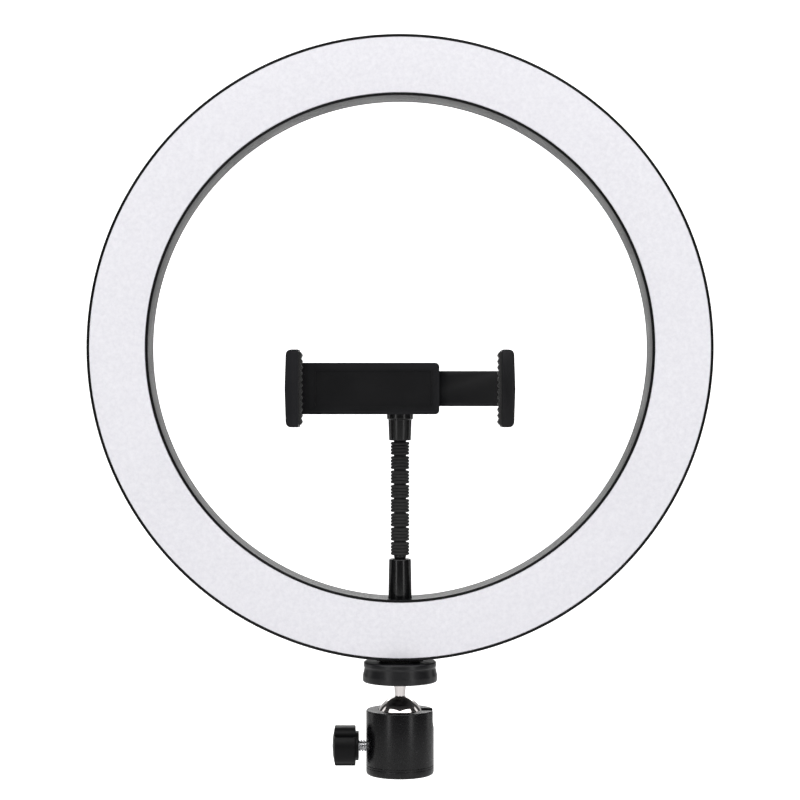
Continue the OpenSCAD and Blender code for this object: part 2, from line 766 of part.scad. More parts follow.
module sliding_pad() color(rubber_black) jaw_pad(1);

ring_housing();
rear_cover();
diffuser();
led_board();
led_chips_warm();
led_chips_cool();
board_screws();
cover_screws();
cable_gland();
mount_insert();
head_body();
base_plug();
lifter();
ball_seat();
ball_stud();
wedge_pin();
lock_screw();
lock_knob();
platform();
platform_pad();
platform_stud();
stem_foot();
stem_nut();
for (i = [1:links]) gooseneck_link(i);
stem_head();
holder_ball_pin();
socket_cup();
socket_collar();
clamp_cover();
clamp_shell();
clamp_screws();
slide_arm();
clamp_spring();
fixed_pad();
sliding_pad();
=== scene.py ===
# %% [markdown]
# # A ring light on a small ball head
# The real object is a round LED lamp of black plastic with a white diffuser. A phone holder on a
# gooseneck stands inside the ring, and the whole lamp sits on a ball head the size of a cotton reel.
# The solids, joints and sizes come from the CAD model. This notebook loads that model as a fixed
# frame and makes the pieces look right: it rebuilds the ones that are seen close up with finer
# meshes, and gives every piece a material.

# %% Load the frame
import bmesh
import bpy
import json
import math
from mathutils import Matrix, Vector


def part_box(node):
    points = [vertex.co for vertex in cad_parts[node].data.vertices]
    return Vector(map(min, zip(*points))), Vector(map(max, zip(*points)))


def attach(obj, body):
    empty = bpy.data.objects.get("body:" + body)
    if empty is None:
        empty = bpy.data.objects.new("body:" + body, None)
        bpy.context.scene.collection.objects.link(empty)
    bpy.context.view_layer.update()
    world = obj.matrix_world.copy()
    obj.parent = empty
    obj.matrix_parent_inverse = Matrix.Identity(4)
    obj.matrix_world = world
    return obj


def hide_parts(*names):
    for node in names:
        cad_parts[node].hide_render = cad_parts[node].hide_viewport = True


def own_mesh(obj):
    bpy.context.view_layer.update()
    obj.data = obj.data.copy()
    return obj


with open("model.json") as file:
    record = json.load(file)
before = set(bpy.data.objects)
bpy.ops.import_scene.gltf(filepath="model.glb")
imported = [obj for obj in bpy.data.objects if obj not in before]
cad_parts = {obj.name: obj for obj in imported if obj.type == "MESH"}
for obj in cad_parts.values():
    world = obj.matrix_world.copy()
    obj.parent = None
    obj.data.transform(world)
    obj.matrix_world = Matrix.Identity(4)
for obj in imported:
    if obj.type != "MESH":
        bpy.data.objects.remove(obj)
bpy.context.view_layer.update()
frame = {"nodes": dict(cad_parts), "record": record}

MM = 0.001

# %% [markdown]
# ## Reading sizes from the frame
# A rebuilt piece has to sit exactly where its CAD solid sits. A box around the solid gives its two
# ends, and for a turned piece the nearest and farthest vertex from its axis give the bore and the
# outside. Reading these numbers, in place of typing them again, keeps the two models together.

# %% Measuring helpers
SIDES = {
    "x": (Vector((0, 1, 0)), Vector((0, 0, 1)), Vector((1, 0, 0))),
    "y": (Vector((0, 0, 1)), Vector((1, 0, 0)), Vector((0, 1, 0))),
    "z": (Vector((1, 0, 0)), Vector((0, 1, 0)), Vector((0, 0, 1))),
}


def middle(node):
    low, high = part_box(node)
    return (Vector(low) + Vector(high)) / 2


def span(node, axis):
    low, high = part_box(node)
    i = "xyz".index(axis)
    return low[i], high[i]


def radii(node, axis, centre, between=None):
    """Smallest and largest distance of a CAD node's vertices from an axis, within a stretch of it."""
    side, up, along = SIDES[axis]
    found = []
    for v in frame["nodes"][node].data.vertices:
        away = v.co - Vector(centre)
        height = v.co.dot(along)
        if between is None or between[0] <= height <= between[1]:
            found.append(math.hypot(away.dot(side), away.dot(up)))
    return min(found), max(found)


RING = middle("rear_cover")
RING.y = 0
RING_IN, RING_OUT = radii("rear_cover", "y", RING)
FRONT_Y, SEAM_Y = span("ring_housing", "y")
BACK_Y = span("rear_cover", "y")[1]
print("ring centre", RING, "radii", RING_IN, RING_OUT, "depth", FRONT_Y, BACK_Y)

# %% [markdown]
# ## The camera
# The lamp is seen straight from the front, a little below the middle of the ring, from about 0.8 m.
# A long lens keeps the ring round. The camera looks along +Y without any tilt, so that upright
# edges stay parallel. Its lens follows from the distance and from the width that it has to take in.

# %% Camera
CAMERA_DISTANCE = 0.806
CAMERA_Z = 0.15665
FRAME_WIDTH = 0.33136
camera_data = bpy.data.cameras.new("camera")
camera_data.sensor_width = 36
camera_data.lens = camera_data.sensor_width * CAMERA_DISTANCE / FRAME_WIDTH
camera_data.clip_end = 20
camera = bpy.data.objects.new("camera", camera_data)
bpy.context.scene.collection.objects.link(camera)
camera.location = (0, FRONT_Y - CAMERA_DISTANCE, CAMERA_Z)
camera.rotation_euler = (math.radians(90), 0, 0)
bpy.context.scene.camera = camera
bpy.context.scene.view_settings.view_transform = "Standard"
print("lens", round(camera_data.lens, 1), "mm")

# %% [markdown]
# ## One way to add a node
# A material in Blender is a small graph of nodes. This helper adds one node, sets its options and
# sockets by name, and joins its inputs to the nodes that feed them. Colours are written as the sRGB
# hex values a designer would use, and one function turns them into the linear values that light
# is computed in.

# %% Node and colour helpers
# A mix node has a pair of inputs for each kind of data, all with the same names, so its colours are
# reached by their place in the list
COLOUR_A, COLOUR_B, MIXED = 6, 7, 2
# Noise crowds round its middle value, so a map range usually starts from this stretch of it
MID_NOISE = {"From Min": 0.3, "From Max": 0.7}


def linear(hex_colour):
    parts = [int(hex_colour[i:i + 2], 16) / 255 for i in (1, 3, 5)]
    bent = [c / 12.92 if c <= 0.04045 else ((c + 0.055) / 1.055) ** 2.4 for c in parts]
    return (*bent, 1.0)


def add(tree, kind, settings=None, links=None):
    """Adds one node. Settings are options or input values; links are input name: output socket."""
    node = tree.nodes.new(kind)
    for name, value in (settings or {}).items():
        if isinstance(name, str) and hasattr(node, name):
            setattr(node, name, value)
        else:
            node.inputs[name].default_value = value
    for name, source in (links or {}).items():
        tree.links.new(source, node.inputs[name])
    return node


def start_material(name, settings):
    """A new material: returns it, its tree and its main shader with the even values set."""
    material = bpy.data.materials.new(name)
    material.use_nodes = True
    tree = material.node_tree
    shader = tree.nodes["Principled BSDF"]
    for socket, value in settings.items():
        shader.inputs[socket].default_value = value
    place = add(tree, "ShaderNodeTexCoord").outputs["Object"]
    return material, tree, shader, place


print("middle grey in linear light", round(linear("#808080")[0], 3))


# %% [markdown]
# ## Studio
# A white background hides the horizon. Two tall soft boxes stand left and right of the camera with a
# gap between them: in the mirror-bright ball they show as two bright panes, and on the black
# cylinder of the head as two soft upright bands. A white wall behind the lamp brightens the edges
# and the inside wall of the ring, which are seen at a grazing angle. Everything else is kept dim,
# because black plastic only looks black when it has something dark to reflect.

# %% Background, floor and lights
WALL_Y = 1.9
FLOOR_Z = -0.14
HALF_WALL = 1.5
WALL_TOP = 1.8
FLOOR_FRONT = -1.3
AIM = Vector((0, 0, 0.10))


def soft_box(name, azimuth, elevation, distance, width, height, power):
    """An area light aimed at the lamp; azimuth 0 is straight behind the camera."""
    data = bpy.data.lights.new(name, "AREA")
    data.shape = "RECTANGLE"
    data.size = width
    data.size_y = height
    data.energy = power
    light = bpy.data.objects.new(name, data)
    bpy.context.scene.collection.objects.link(light)
    a, e = math.radians(azimuth), math.radians(elevation)
    away = Vector((math.sin(a) * math.cos(e), -math.cos(a) * math.cos(e), math.sin(e)))
    light.location = AIM + distance * away
    light.rotation_euler = (AIM - light.location).to_track_quat("-Z", "Y").to_euler()


# Angles in degrees, then distance, width and height in metres, and power in watts
for side, name in ((-1, "left"), (1, "right")):
    soft_box("pane_" + name, side * 37, 38, 1.5, 1.62, 0.72, 10.5)
    soft_box("strip_" + name, side * 38, -4, 1.4, 0.22, 0.9, 2.2)
    soft_box("rim_" + name, side * 112, 10, 1.5, 0.35, 1.3, 1.6)
soft_box("top_light", 0, 84, 1.6, 1.2, 1.2, 3)
soft_box("back_light", 180, 30, 1.7, 1.4, 0.8, 9)


def stage_glow(tree, seen, felt):
    """A white glow that the camera sees brighter than the lamp does."""
    path = add(tree, "ShaderNodeLightPath")
    strength = add(tree, "ShaderNodeMapRange", {"To Min": felt, "To Max": seen},
                   {"Value": path.outputs["Is Camera Ray"]})
    return strength.outputs[0]


world = bpy.data.worlds.new("studio")
bpy.context.scene.world = world
world.use_nodes = True
world_tree = world.node_tree
world_tree.nodes.clear()
sky = add(world_tree, "ShaderNodeBackground", {"Color": linear("#ffffff")},
          {"Strength": stage_glow(world_tree, 1.0, 0.07)})
add(world_tree, "ShaderNodeOutputWorld", links={"Surface": sky.outputs[0]})


def stage_plane(name, corners, colour, seen, felt):
    mesh = bpy.data.meshes.new(name)
    mesh.from_pydata(corners, [], [list(range(len(corners)))])
    plane = bpy.data.objects.new(name, mesh)
    bpy.context.scene.collection.objects.link(plane)
    material, tree, shader, place = start_material(name, {
        "Roughness": 0.9, "Emission Color": linear("#ffffff")})
    grain = add(tree, "ShaderNodeTexNoise", {"Scale": 3.0}, {"Vector": place})
    tint = add(tree, "ShaderNodeMix", {"data_type": "RGBA", COLOUR_A: linear(colour),
                                        COLOUR_B: linear("#ffffff")},
               {"Factor": grain.outputs["Fac"]})
    tree.links.new(tint.outputs[MIXED], shader.inputs["Base Color"])
    tree.links.new(stage_glow(tree, seen, felt), shader.inputs["Emission Strength"])
    mesh.materials.append(material)


wall = [(-HALF_WALL, WALL_Y, FLOOR_Z), (HALF_WALL, WALL_Y, FLOOR_Z),
        (HALF_WALL, WALL_Y, WALL_TOP), (-HALF_WALL, WALL_Y, WALL_TOP)]
ground = [(-HALF_WALL, FLOOR_FRONT, FLOOR_Z), (HALF_WALL, FLOOR_FRONT, FLOOR_Z),
          (HALF_WALL, WALL_Y, FLOOR_Z), (-HALF_WALL, WALL_Y, FLOOR_Z)]
stage_plane("white_wall", wall, "#f8f8f8", 0.95, 0.06)
stage_plane("pale_floor", ground, "#f2f2f2", 0.85, 0.07)

# %% [markdown]
# ## Materials: moulded plastics
# The housing, clamp and knob are ABS, injection moulded in steel tools whose faces were etched. The
# etching leaves a fine matt grain, and handling polishes the edges a little. ABS has an index of
# refraction near 1.53. The grain is about 0.2 mm on the real part, too fine to show at this
# distance, so it is drawn at 0.45 mm or a little more.

# %% Moulded ABS
def moulded_abs(name, colour, worn, roughness, grain_mm, depth_mm, shine):
    material, tree, shader, place = start_material(name, {"IOR": 1.53, "Specular IOR Level": shine})
    cloud = add(tree, "ShaderNodeTexNoise", {"Scale": 1 / (24 * MM), "Detail": 3.0}, {"Vector": place})
    grain = add(tree, "ShaderNodeTexNoise", {"Scale": 1 / (grain_mm * MM), "Detail": 2.0},
                {"Vector": place})
    edge = add(tree, "ShaderNodeNewGeometry")
    wear = add(tree, "ShaderNodeMapRange",
               {"From Min": 0.52, "From Max": 0.62, "To Min": 0.0, "To Max": 0.55},
               {"Value": edge.outputs["Pointiness"]})
    tint = add(tree, "ShaderNodeMix", {"data_type": "RGBA", COLOUR_A: linear(colour),
                                        COLOUR_B: linear(worn)},
               {"Factor": wear.outputs[0]})
    tree.links.new(tint.outputs[MIXED], shader.inputs["Base Color"])
    spread = add(tree, "ShaderNodeMapRange",
                 {**MID_NOISE, "To Min": roughness - 0.05, "To Max": roughness + 0.06},
                 {"Value": cloud.outputs["Fac"]})
    tree.links.new(spread.outputs[0], shader.inputs["Roughness"])
    bump = add(tree, "ShaderNodeBump", {"Strength": 0.5, "Distance": depth_mm * MM},
               {"Height": grain.outputs["Fac"]})
    tree.links.new(bump.outputs[0], shader.inputs["Normal"])
    return material


HOUSING_ABS = moulded_abs("etched_black_abs", "#09090a", "#1a1a1c", 0.25, 0.45, 0.012, 0.22)
CLAMP_ABS = moulded_abs("satin_black_abs", "#0b0b0d", "#222225", 0.38, 0.5, 0.02, 0.22)
KNOB_ABS = moulded_abs("matt_black_abs", "#070708", "#1c1c1e", 0.44, 0.5, 0.03, 0.15)
PLATFORM_ABS = moulded_abs("soft_touch_black", "#101012", "#242428", 0.32, 0.5, 0.02, 0.38)
print("moulded finishes", HOUSING_ABS.name, CLAMP_ABS.name, KNOB_ABS.name, PLATFORM_ABS.name)

# %% [markdown]
# ## Material: opal acrylic
# The diffuser is a ring of opal acrylic (PMMA, index 1.49) with a frosted, slightly pebbled face that
# hides the LEDs. It looks off-white with a trace of lavender and a faint mottle. Two noises do this:
# a coarse one for the mottle in the colour and a fine one for the frosting in the bump.

# %% Opal acrylic
def opal_acrylic():
    material, tree, shader, place = start_material("frosted_opal_acrylic", {
        "IOR": 1.49, "Roughness": 0.55, "Specular IOR Level": 0.35})
    mottle = add(tree, "ShaderNodeTexNoise", {"Scale": 1 / (1.7 * MM), "Detail": 4.0, "Roughness": 0.7},
                 {"Vector": place})
    ramp = add(tree, "ShaderNodeMapRange", MID_NOISE, {"Value": mottle.outputs["Fac"]})
    tint = add(tree, "ShaderNodeMix", {"data_type": "RGBA", COLOUR_A: linear("#e2e1e7"),
                                        COLOUR_B: linear("#eeedf2")},
               {"Factor": ramp.outputs[0]})
    tree.links.new(tint.outputs[MIXED], shader.inputs["Base Color"])
    frost = add(tree, "ShaderNodeTexNoise", {"Scale": 1 / (0.9 * MM), "Detail": 2.0}, {"Vector": place})
    bump = add(tree, "ShaderNodeBump", {"Strength": 0.25, "Distance": 0.03 * MM},
               {"Height": frost.outputs["Fac"]})
    tree.links.new(bump.outputs[0], shader.inputs["Normal"])
    return material


OPAL = opal_acrylic()
print("made", OPAL.name)

# %% [markdown]
# ## Materials: metals and coatings
# The ball is chrome plated steel, polished to a mirror, with a few hairline scratches. The lock screw
# and the nuts are zinc plated, brighter and rougher. The head's body is aluminium with a satin black
# coat, and the stem is steel with a glossier one. Metals keep the default index; only colour,
# roughness and bump change.

# %% Metals
def metal(name, colour, roughness, line_mm, squash_z=1.0, depth_mm=0.004):
    material, tree, shader, place = start_material(name, {"Metallic": 1.0, "Base Color": linear(colour)})
    stretch = add(tree, "ShaderNodeMapping", {"Scale": (1.0, 1.0, squash_z)}, {"Vector": place})
    lines = add(tree, "ShaderNodeTexNoise", {"Scale": 1 / (line_mm * MM), "Detail": 3.0},
                {"Vector": stretch.outputs[0]})
    spread = add(tree, "ShaderNodeMapRange",
                 {**MID_NOISE, "To Min": roughness * 0.7, "To Max": roughness * 1.3},
                 {"Value": lines.outputs["Fac"]})
    tree.links.new(spread.outputs[0], shader.inputs["Roughness"])
    bump = add(tree, "ShaderNodeBump", {"Strength": 0.3, "Distance": depth_mm * MM},
               {"Height": lines.outputs["Fac"]})
    tree.links.new(bump.outputs[0], shader.inputs["Normal"])
    return material


def coated(name, colour, speckled, roughness, speck_mm, coat, shine):
    """A painted or anodised metal: a dark base under a thin clear gloss."""
    material, tree, shader, place = start_material(name, {
        "IOR": 1.5, "Coat Weight": coat, "Coat Roughness": 0.16, "Specular IOR Level": shine})
    speck = add(tree, "ShaderNodeTexNoise", {"Scale": 1 / (speck_mm * MM), "Detail": 3.0},
                {"Vector": place})
    tint = add(tree, "ShaderNodeMix", {"data_type": "RGBA", COLOUR_A: linear(colour),
                                        COLOUR_B: linear(speckled)},
               {"Factor": speck.outputs["Fac"]})
    tree.links.new(tint.outputs[MIXED], shader.inputs["Base Color"])
    spread = add(tree, "ShaderNodeMapRange",
                 {**MID_NOISE, "To Min": roughness - 0.02, "To Max": roughness + 0.02},
                 {"Value": speck.outputs["Fac"]})
    tree.links.new(spread.outputs[0], shader.inputs["Roughness"])
    bump = add(tree, "ShaderNodeBump", {"Strength": 0.25, "Distance": 0.004 * MM},
               {"Height": speck.outputs["Fac"]})
    tree.links.new(bump.outputs[0], shader.inputs["Normal"])
    return material


CHROME = metal("polished_chrome", "#ddd8d6", 0.035, 6.0, depth_mm=0.002)
ZINC = metal("zinc_plated_steel", "#dedee0", 0.22, 0.6)
BRASS = metal("turned_brass", "#c8a35a", 0.25, 0.5, squash_z=6.0)
SPRING_STEEL = metal("drawn_spring_steel", "#a9a9ad", 0.3, 0.5)
BLACK_OXIDE = metal("black_oxide_steel", "#2c2c2e", 0.4, 0.7)
SATIN_COAT = coated("satin_black_anodised_aluminium", "#060607", "#09090b", 0.27, 0.8, 0.06, 0.3)
GLOSS_COAT = coated("gloss_black_enamel", "#080809", "#101011", 0.24, 1.6, 0.2, 0.3)
print("metals and coats", CHROME.name, ZINC.name, BRASS.name, SATIN_COAT.name, GLOSS_COAT.name)

# %% [markdown]
# ## Materials: rubber, nylon and the electronics
# The pads and the gland are moulded rubber, dull and slightly dusty. The ball's seat is natural nylon.
# The LED board has a white solder mask, and each chip a yellow phosphor. These inner pieces are
# seldom seen, but a library part can be opened, so they get their own finish too.

# %% Rubber, nylon, board and phosphor
def soft(name, colour, dusty, roughness, grain_mm, sheen):
    material, tree, shader, place = start_material(name, {"IOR": 1.52, "Sheen Weight": sheen,
                                                          "Sheen Roughness": 0.5, "Roughness": roughness})
    dust = add(tree, "ShaderNodeTexNoise", {"Scale": 1 / (grain_mm * MM), "Detail": 5.0}, {"Vector": place})
    ramp = add(tree, "ShaderNodeMapRange", {"From Min": 0.45, "From Max": 0.8},
               {"Value": dust.outputs["Fac"]})
    tint = add(tree, "ShaderNodeMix", {"data_type": "RGBA", COLOUR_A: linear(colour),
                                        COLOUR_B: linear(dusty)},
               {"Factor": ramp.outputs[0]})
    tree.links.new(tint.outputs[MIXED], shader.inputs["Base Color"])
    bump = add(tree, "ShaderNodeBump", {"Strength": 0.4, "Distance": 0.03 * MM},
               {"Height": dust.outputs["Fac"]})
    tree.links.new(bump.outputs[0], shader.inputs["Normal"])
    return material


RUBBER = soft("black_rubber", "#0e0e0e", "#222222", 0.72, 0.7, 0.06)
NYLON = soft("natural_nylon", "#ddd8c8", "#ece8dc", 0.45, 1.5, 0.0)
SOLDER_MASK = soft("white_solder_mask", "#e8e8e2", "#f4f4f0", 0.35, 1.5, 0.0)
WARM_PHOSPHOR = soft("warm_phosphor", "#e8a83c", "#f0bc58", 0.3, 0.4, 0.0)
COOL_PHOSPHOR = soft("cool_phosphor", "#ece070", "#f4ec94", 0.3, 0.4, 0.0)
print("materials", len(bpy.data.materials))

# %% [markdown]
# ## Building turned pieces
# Most of this object was turned on a lathe or moulded round, so most meshes here are one outline swept
# round an axis. Real edges are never perfectly sharp: a small fillet catches a line of light, and that
# line is what makes a rendered piece look solid. `fillet` rounds the corners of an outline before
# `lathe` sweeps it.

# %% Lathe and fillet
def fillet(points, radius, steps=4, closed=True):
    """The outline with each corner replaced by an arc; radius may be one value or one per corner."""
    out = []
    count = len(points)
    for i, (x, y) in enumerate(points):
        r = radius[i] if isinstance(radius, (list, tuple)) else radius
        if r <= 0 or (not closed and i in (0, count - 1)):
            out.append((x, y))
            continue
        here = Vector((x, y))
        back = Vector(points[i - 1]) - here
        ahead = Vector(points[(i + 1) % count]) - here
        turn = back.angle(ahead)
        if turn > math.radians(178):
            out.append((x, y))
            continue
        reach = min(r / math.tan(turn / 2), back.length * 0.49, ahead.length * 0.49)
        start, end = here + back.normalized() * reach, here + ahead.normalized() * reach
        for k in range(steps + 1):
            t = k / steps
            # A quadratic curve through the corner is close to an arc and never overshoots
            out.append(tuple((1 - t) ** 2 * start + 2 * t * (1 - t) * here + t ** 2 * end))
    return out


def new_piece(name, mesh, material, body, nodes=(), sharp=40):
    """Turns a bmesh into a piece that rides on a body and may stand for CAD nodes."""
    bmesh.ops.remove_doubles(mesh, verts=mesh.verts, dist=1e-6)
    bmesh.ops.recalc_face_normals(mesh, faces=mesh.faces)
    data = bpy.data.meshes.new(name)
    mesh.to_mesh(data)
    mesh.free()
    data.materials.append(material)
    data.shade_smooth()
    data.set_sharp_from_angle(angle=math.radians(sharp))
    piece = bpy.data.objects.new(name, data)
    bpy.context.scene.collection.objects.link(piece)
    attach(piece, body)
    if nodes:
        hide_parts(*nodes)
    return piece


def lathe(outline, centre, axis, steps=96, closed=True, mesh=None, shape=None):
    """Sweeps (radius, height) points round an axis. shape(angle, radius, height) may vary the radius."""
    side, up, along = SIDES[axis]
    mesh = mesh or bmesh.new()
    rings = []
    for radius, height in outline:
        at = Vector(centre) + along * height
        if radius < 1e-7:
            rings.append([mesh.verts.new(at)] * steps)
            continue
        ring = []
        for k in range(steps):
            angle = 2 * math.pi * k / steps
            r = shape(angle, radius, height) if shape else radius
            ring.append(mesh.verts.new(at + r * (side * math.cos(angle) + up * math.sin(angle))))
        rings.append(ring)
    pairs = list(zip(rings, rings[1:]))
    if closed:
        pairs.append((rings[-1], rings[0]))
    for low, high in pairs:
        for k in range(steps):
            n = (k + 1) % steps
            corners = list(dict.fromkeys((low[k], low[n], high[n], high[k])))
            if len(corners) > 2:
                mesh.faces.new(corners)
    return mesh


print("a filleted square has", len(fillet([(0, 0), (1, 0), (1, 1), (0, 1)], 0.1)), "points")


# %% [markdown]
# ## The diffuser
# A flat ring that snaps between the two lips of the housing. It could be a flat disc with a hole, but
# a ring with sharp corners would look like paper. So its section is swept with edges eased by
# 0.35 mm, which also leaves the hairline shadow that separates it from the black lips.

# %% Diffuser
low_y, high_y = span("diffuser", "y")
in_r, out_r = radii("diffuser", "y", RING)
outline = fillet([(in_r, low_y), (out_r, low_y), (out_r, high_y), (in_r, high_y)], 0.35 * MM)
new_piece("diffuser_ring", lathe(outline, (RING.x, 0, RING.z), "y", 256), OPAL, "light",
          ["diffuser"])
print("diffuser radii in mm", round(in_r / MM, 2), round(out_r / MM, 2))

# %% [markdown]
# ## The ring's housing and rear cover
# The lamp's casing is two mouldings. The front one is a channel with two walls, each ending in a thin
# lip round the diffuser, and the rear one closes it. Where two mouldings meet there is always a fine
# parting line, made here by easing both edges by 0.25 mm. Under the ring the wall has a flat seat for
# the ball head, and inside it another for the phone holder's stem.

# %% Booleans and bevels
def body_mesh(mesh):
    """A bmesh as a loose object, for use in a boolean."""
    bmesh.ops.remove_doubles(mesh, verts=mesh.verts, dist=1e-6)
    bmesh.ops.recalc_face_normals(mesh, faces=mesh.faces)
    data = bpy.data.meshes.new("part")
    mesh.to_mesh(data)
    mesh.free()
    loose = bpy.data.objects.new("part", data)
    bpy.context.scene.collection.objects.link(loose)
    return loose


def combine(whole, kind, solid):
    """Adds one union or cut to a loose object, and returns the helper that holds the other solid."""
    other = body_mesh(solid)
    step = whole.modifiers.new(kind, "BOOLEAN")
    step.operation = kind
    step.solver = "EXACT"
    step.object = other
    return other


def settle(whole, helpers):
    """The mesh that the modifiers give; the loose object and its helpers are cleared away."""
    graph = bpy.context.evaluated_depsgraph_get()
    graph.update()
    data = bpy.data.meshes.new_from_object(whole.evaluated_get(graph))
    for other in [whole] + helpers:
        bpy.data.objects.remove(other)
    return data


def carve(name, base, material, body, nodes, joined=(), cut=(), bevel=0.0, angle=35):
    """Joins and cuts solids, eases the sharp edges, and returns the piece that stands for the nodes."""
    whole = body_mesh(base)
    helpers = [combine(whole, "UNION", solid) for solid in joined]
    helpers += [combine(whole, "DIFFERENCE", solid) for solid in cut]
    if bevel:
        ease = whole.modifiers.new("eased_edges", "BEVEL")
        ease.width = bevel
        ease.segments = 2
        ease.limit_method = "ANGLE"
        ease.angle_limit = math.radians(angle)
    mesh = bmesh.new()
    mesh.from_mesh(settle(whole, helpers))
    return new_piece(name, mesh, material, body, nodes, sharp=angle)


def box(low, high):
    mesh = bmesh.new()
    bmesh.ops.create_cube(mesh, size=1)
    low, high = Vector(low), Vector(high)
    for v in mesh.verts:
        v.co = Vector((low[i] if v.co[i] < 0 else high[i]) for i in range(3))
    return mesh


def rod(centre, axis, radius, low, high, steps=48):
    """A plain cylinder from low to high along an axis."""
    return lathe([(0, low), (radius, low), (radius, high), (0, high)], centre, axis, steps, closed=False)


sample = box((0, 0, 0), (1, 1, 1))
print("a box has", len(sample.faces), "faces")
sample.free()


# %% [markdown]
# The lips are 1.1 mm wide and the wall behind them is 2 mm. The outline of each wall is written once
# and mirrored for the inner one. The flat seat, the boss for the threaded insert and the stem's seat
# are joined to the channel, and the two bores are cut last.

# %% Housing
LIP = 1.1 * MM
WALL = 2 * MM
LEDGE, LEDGE_T, LEDGE_ROOT = 0.9 * MM, 1.6 * MM, 2.5 * MM
ONTO = Vector((RING.x, 0, RING.z))
BOARD_SIDE = span("diffuser", "y")[1]
RING_STEPS = 288
INSERT_R, INSERT_DEEP, BOSS_R, BOSS_TALL = 4.675 * MM, 6.8 * MM, 5.975 * MM, 7.7 * MM
STEM_BORE_R = 3.05 * MM
SEAT_HALF, SEAT_DEEP, SEAT_SET_BACK = 9.6 * MM, 1.5 * MM, 0.45 * MM


def wall_outline(face, inward):
    """The section of one wall of the channel; inward is -1 for the outer wall and +1 for the inner."""
    points = [(face, SEAM_Y), (face, FRONT_Y), (face + inward * LIP, FRONT_Y),
              (face + inward * LIP, BOARD_SIDE), (face + inward * (WALL + LEDGE), BOARD_SIDE),
              (face + inward * (WALL + LEDGE), BOARD_SIDE + LEDGE_T),
              (face + inward * WALL, BOARD_SIDE + LEDGE_ROOT), (face + inward * WALL, SEAM_Y)]
    rounds = [0.25 * MM, 0.5 * MM, 0.3 * MM, 0.05 * MM, 0.1 * MM, 0.1 * MM, 0.1 * MM, 0.1 * MM]
    return fillet(points, rounds)


def upright(radius, low, high):
    """A cylinder on the lamp's own upright axis, for a boss or a bore."""
    return rod((0, 0, 0), "z", radius, low, high, 64)


ring_bottom = span("platform_pad", "z")[1]
stem_seat_r = radii("stem_foot", "z", (0, 0, 0))[1] + 0.1 * MM
inner_floor = RING.z - RING_IN
stem_low = span("stem_foot", "z")[0]
screw_angles = [math.radians(15 + 60 * k) for k in range(6)]
foot_z = inner_floor + 0.5 * MM
housing = carve(
    "housing", lathe(wall_outline(RING_OUT, -1), ONTO, "y", RING_STEPS), HOUSING_ABS, "light",
    ["ring_housing"],
    joined=[
        lathe(wall_outline(RING_IN, 1), ONTO, "y", RING_STEPS),
        box((-SEAT_HALF, FRONT_Y + SEAT_SET_BACK, ring_bottom),
            (SEAT_HALF, SEAM_Y, ring_bottom + SEAT_DEEP)),
        upright(BOSS_R, ring_bottom, ring_bottom + BOSS_TALL),
        upright(stem_seat_r, inner_floor - WALL, foot_z)],
    cut=[upright(INSERT_R, ring_bottom - MM, ring_bottom + INSERT_DEEP),
         upright(STEM_BORE_R, inner_floor - 2 * WALL, foot_z + MM)])
print("housing faces", len(housing.data.polygons))

# %% [markdown]
# The rear cover is a flat moulded ring with a 2 mm rounding on both rims. Six screws sit in
# counterbores so that nothing stands proud when the lamp leans on a wall. The cable leaves through a
# rubber gland. The ring could be cut from a flat plate, but sweeping its section gives the two round
# rims for nothing, and only the holes are left for booleans.

# %% Rear cover
outline = fillet([(RING_IN, SEAM_Y), (RING_OUT, SEAM_Y), (RING_OUT, BACK_Y), (RING_IN, BACK_Y)],
                 [0.25 * MM, 0.25 * MM, 2 * MM, 2 * MM], steps=6)


def round_the_ring(radius, angle):
    """A point in the ring's plane; the angle runs from +X towards +Z, as seen from the front."""
    return Vector((RING.x + radius * math.cos(angle), 0, RING.z + radius * math.sin(angle)))


screw_at = radii("cover_screws", "y", RING)
screw_ring = (screw_at[0] + screw_at[1]) / 2
gland = middle("cable_gland")
gland_low, gland_high = span("cable_gland", "y")
pit_r, under_head, gland_hole_r = 2.55 * MM, BACK_Y - 1.5 * MM, 3.4 * MM
pits = [rod(round_the_ring(screw_ring, a), "y", pit_r, under_head, BACK_Y + MM, 40) for a in screw_angles]
cover = carve("back_cover", lathe(outline, ONTO, "y", RING_STEPS), HOUSING_ABS, "light", ["rear_cover"],
              cut=pits + [rod((gland.x, 0, gland.z), "y", gland_hole_r, SEAM_Y - MM, BACK_Y + MM)],
              bevel=0.12 * MM, angle=50)
print("cover faces", len(cover.data.polygons))

# %% [markdown]
# ## Screws with a cross recess
# A pan-head screw is a low dome with a cross punched into it. The recess is cut by two tapered bars.
# One screw is made, then copied round the ring, because a factory uses the same screw everywhere.

# %% Pan-head screws
def screw_mesh(head_r, head_h, shank_r, length):
    """Head on top of height 0, shank below it, with a cross recess."""
    dome = [(head_r * math.cos(a), head_h * (0.35 + 0.65 * math.sin(a)))
            for a in (math.pi / 2 * k / 8 for k in range(9))]
    profile = [(0, -length), (shank_r * 0.6, -length), (shank_r, -length + shank_r * 0.5),
               (shank_r, 0), (head_r, 0)] + dome[:-1] + [(0, head_h)]
    whole = body_mesh(lathe(profile, (0, 0, 0), "z", 40, closed=False))
    arm, deep, thick = head_r * 0.62, head_h * 0.75, head_r * 0.17
    helpers = []
    for size in ((arm, thick), (thick, arm)):
        bar = box((-size[0], -size[1], head_h - deep), (size[0], size[1], head_h * 2))
        for v in bar.verts:
            if v.co.z < head_h:
                v.co.x *= 0.55
                v.co.y *= 0.55
        helpers.append(combine(whole, "DIFFERENCE", bar))
    return settle(whole, helpers)


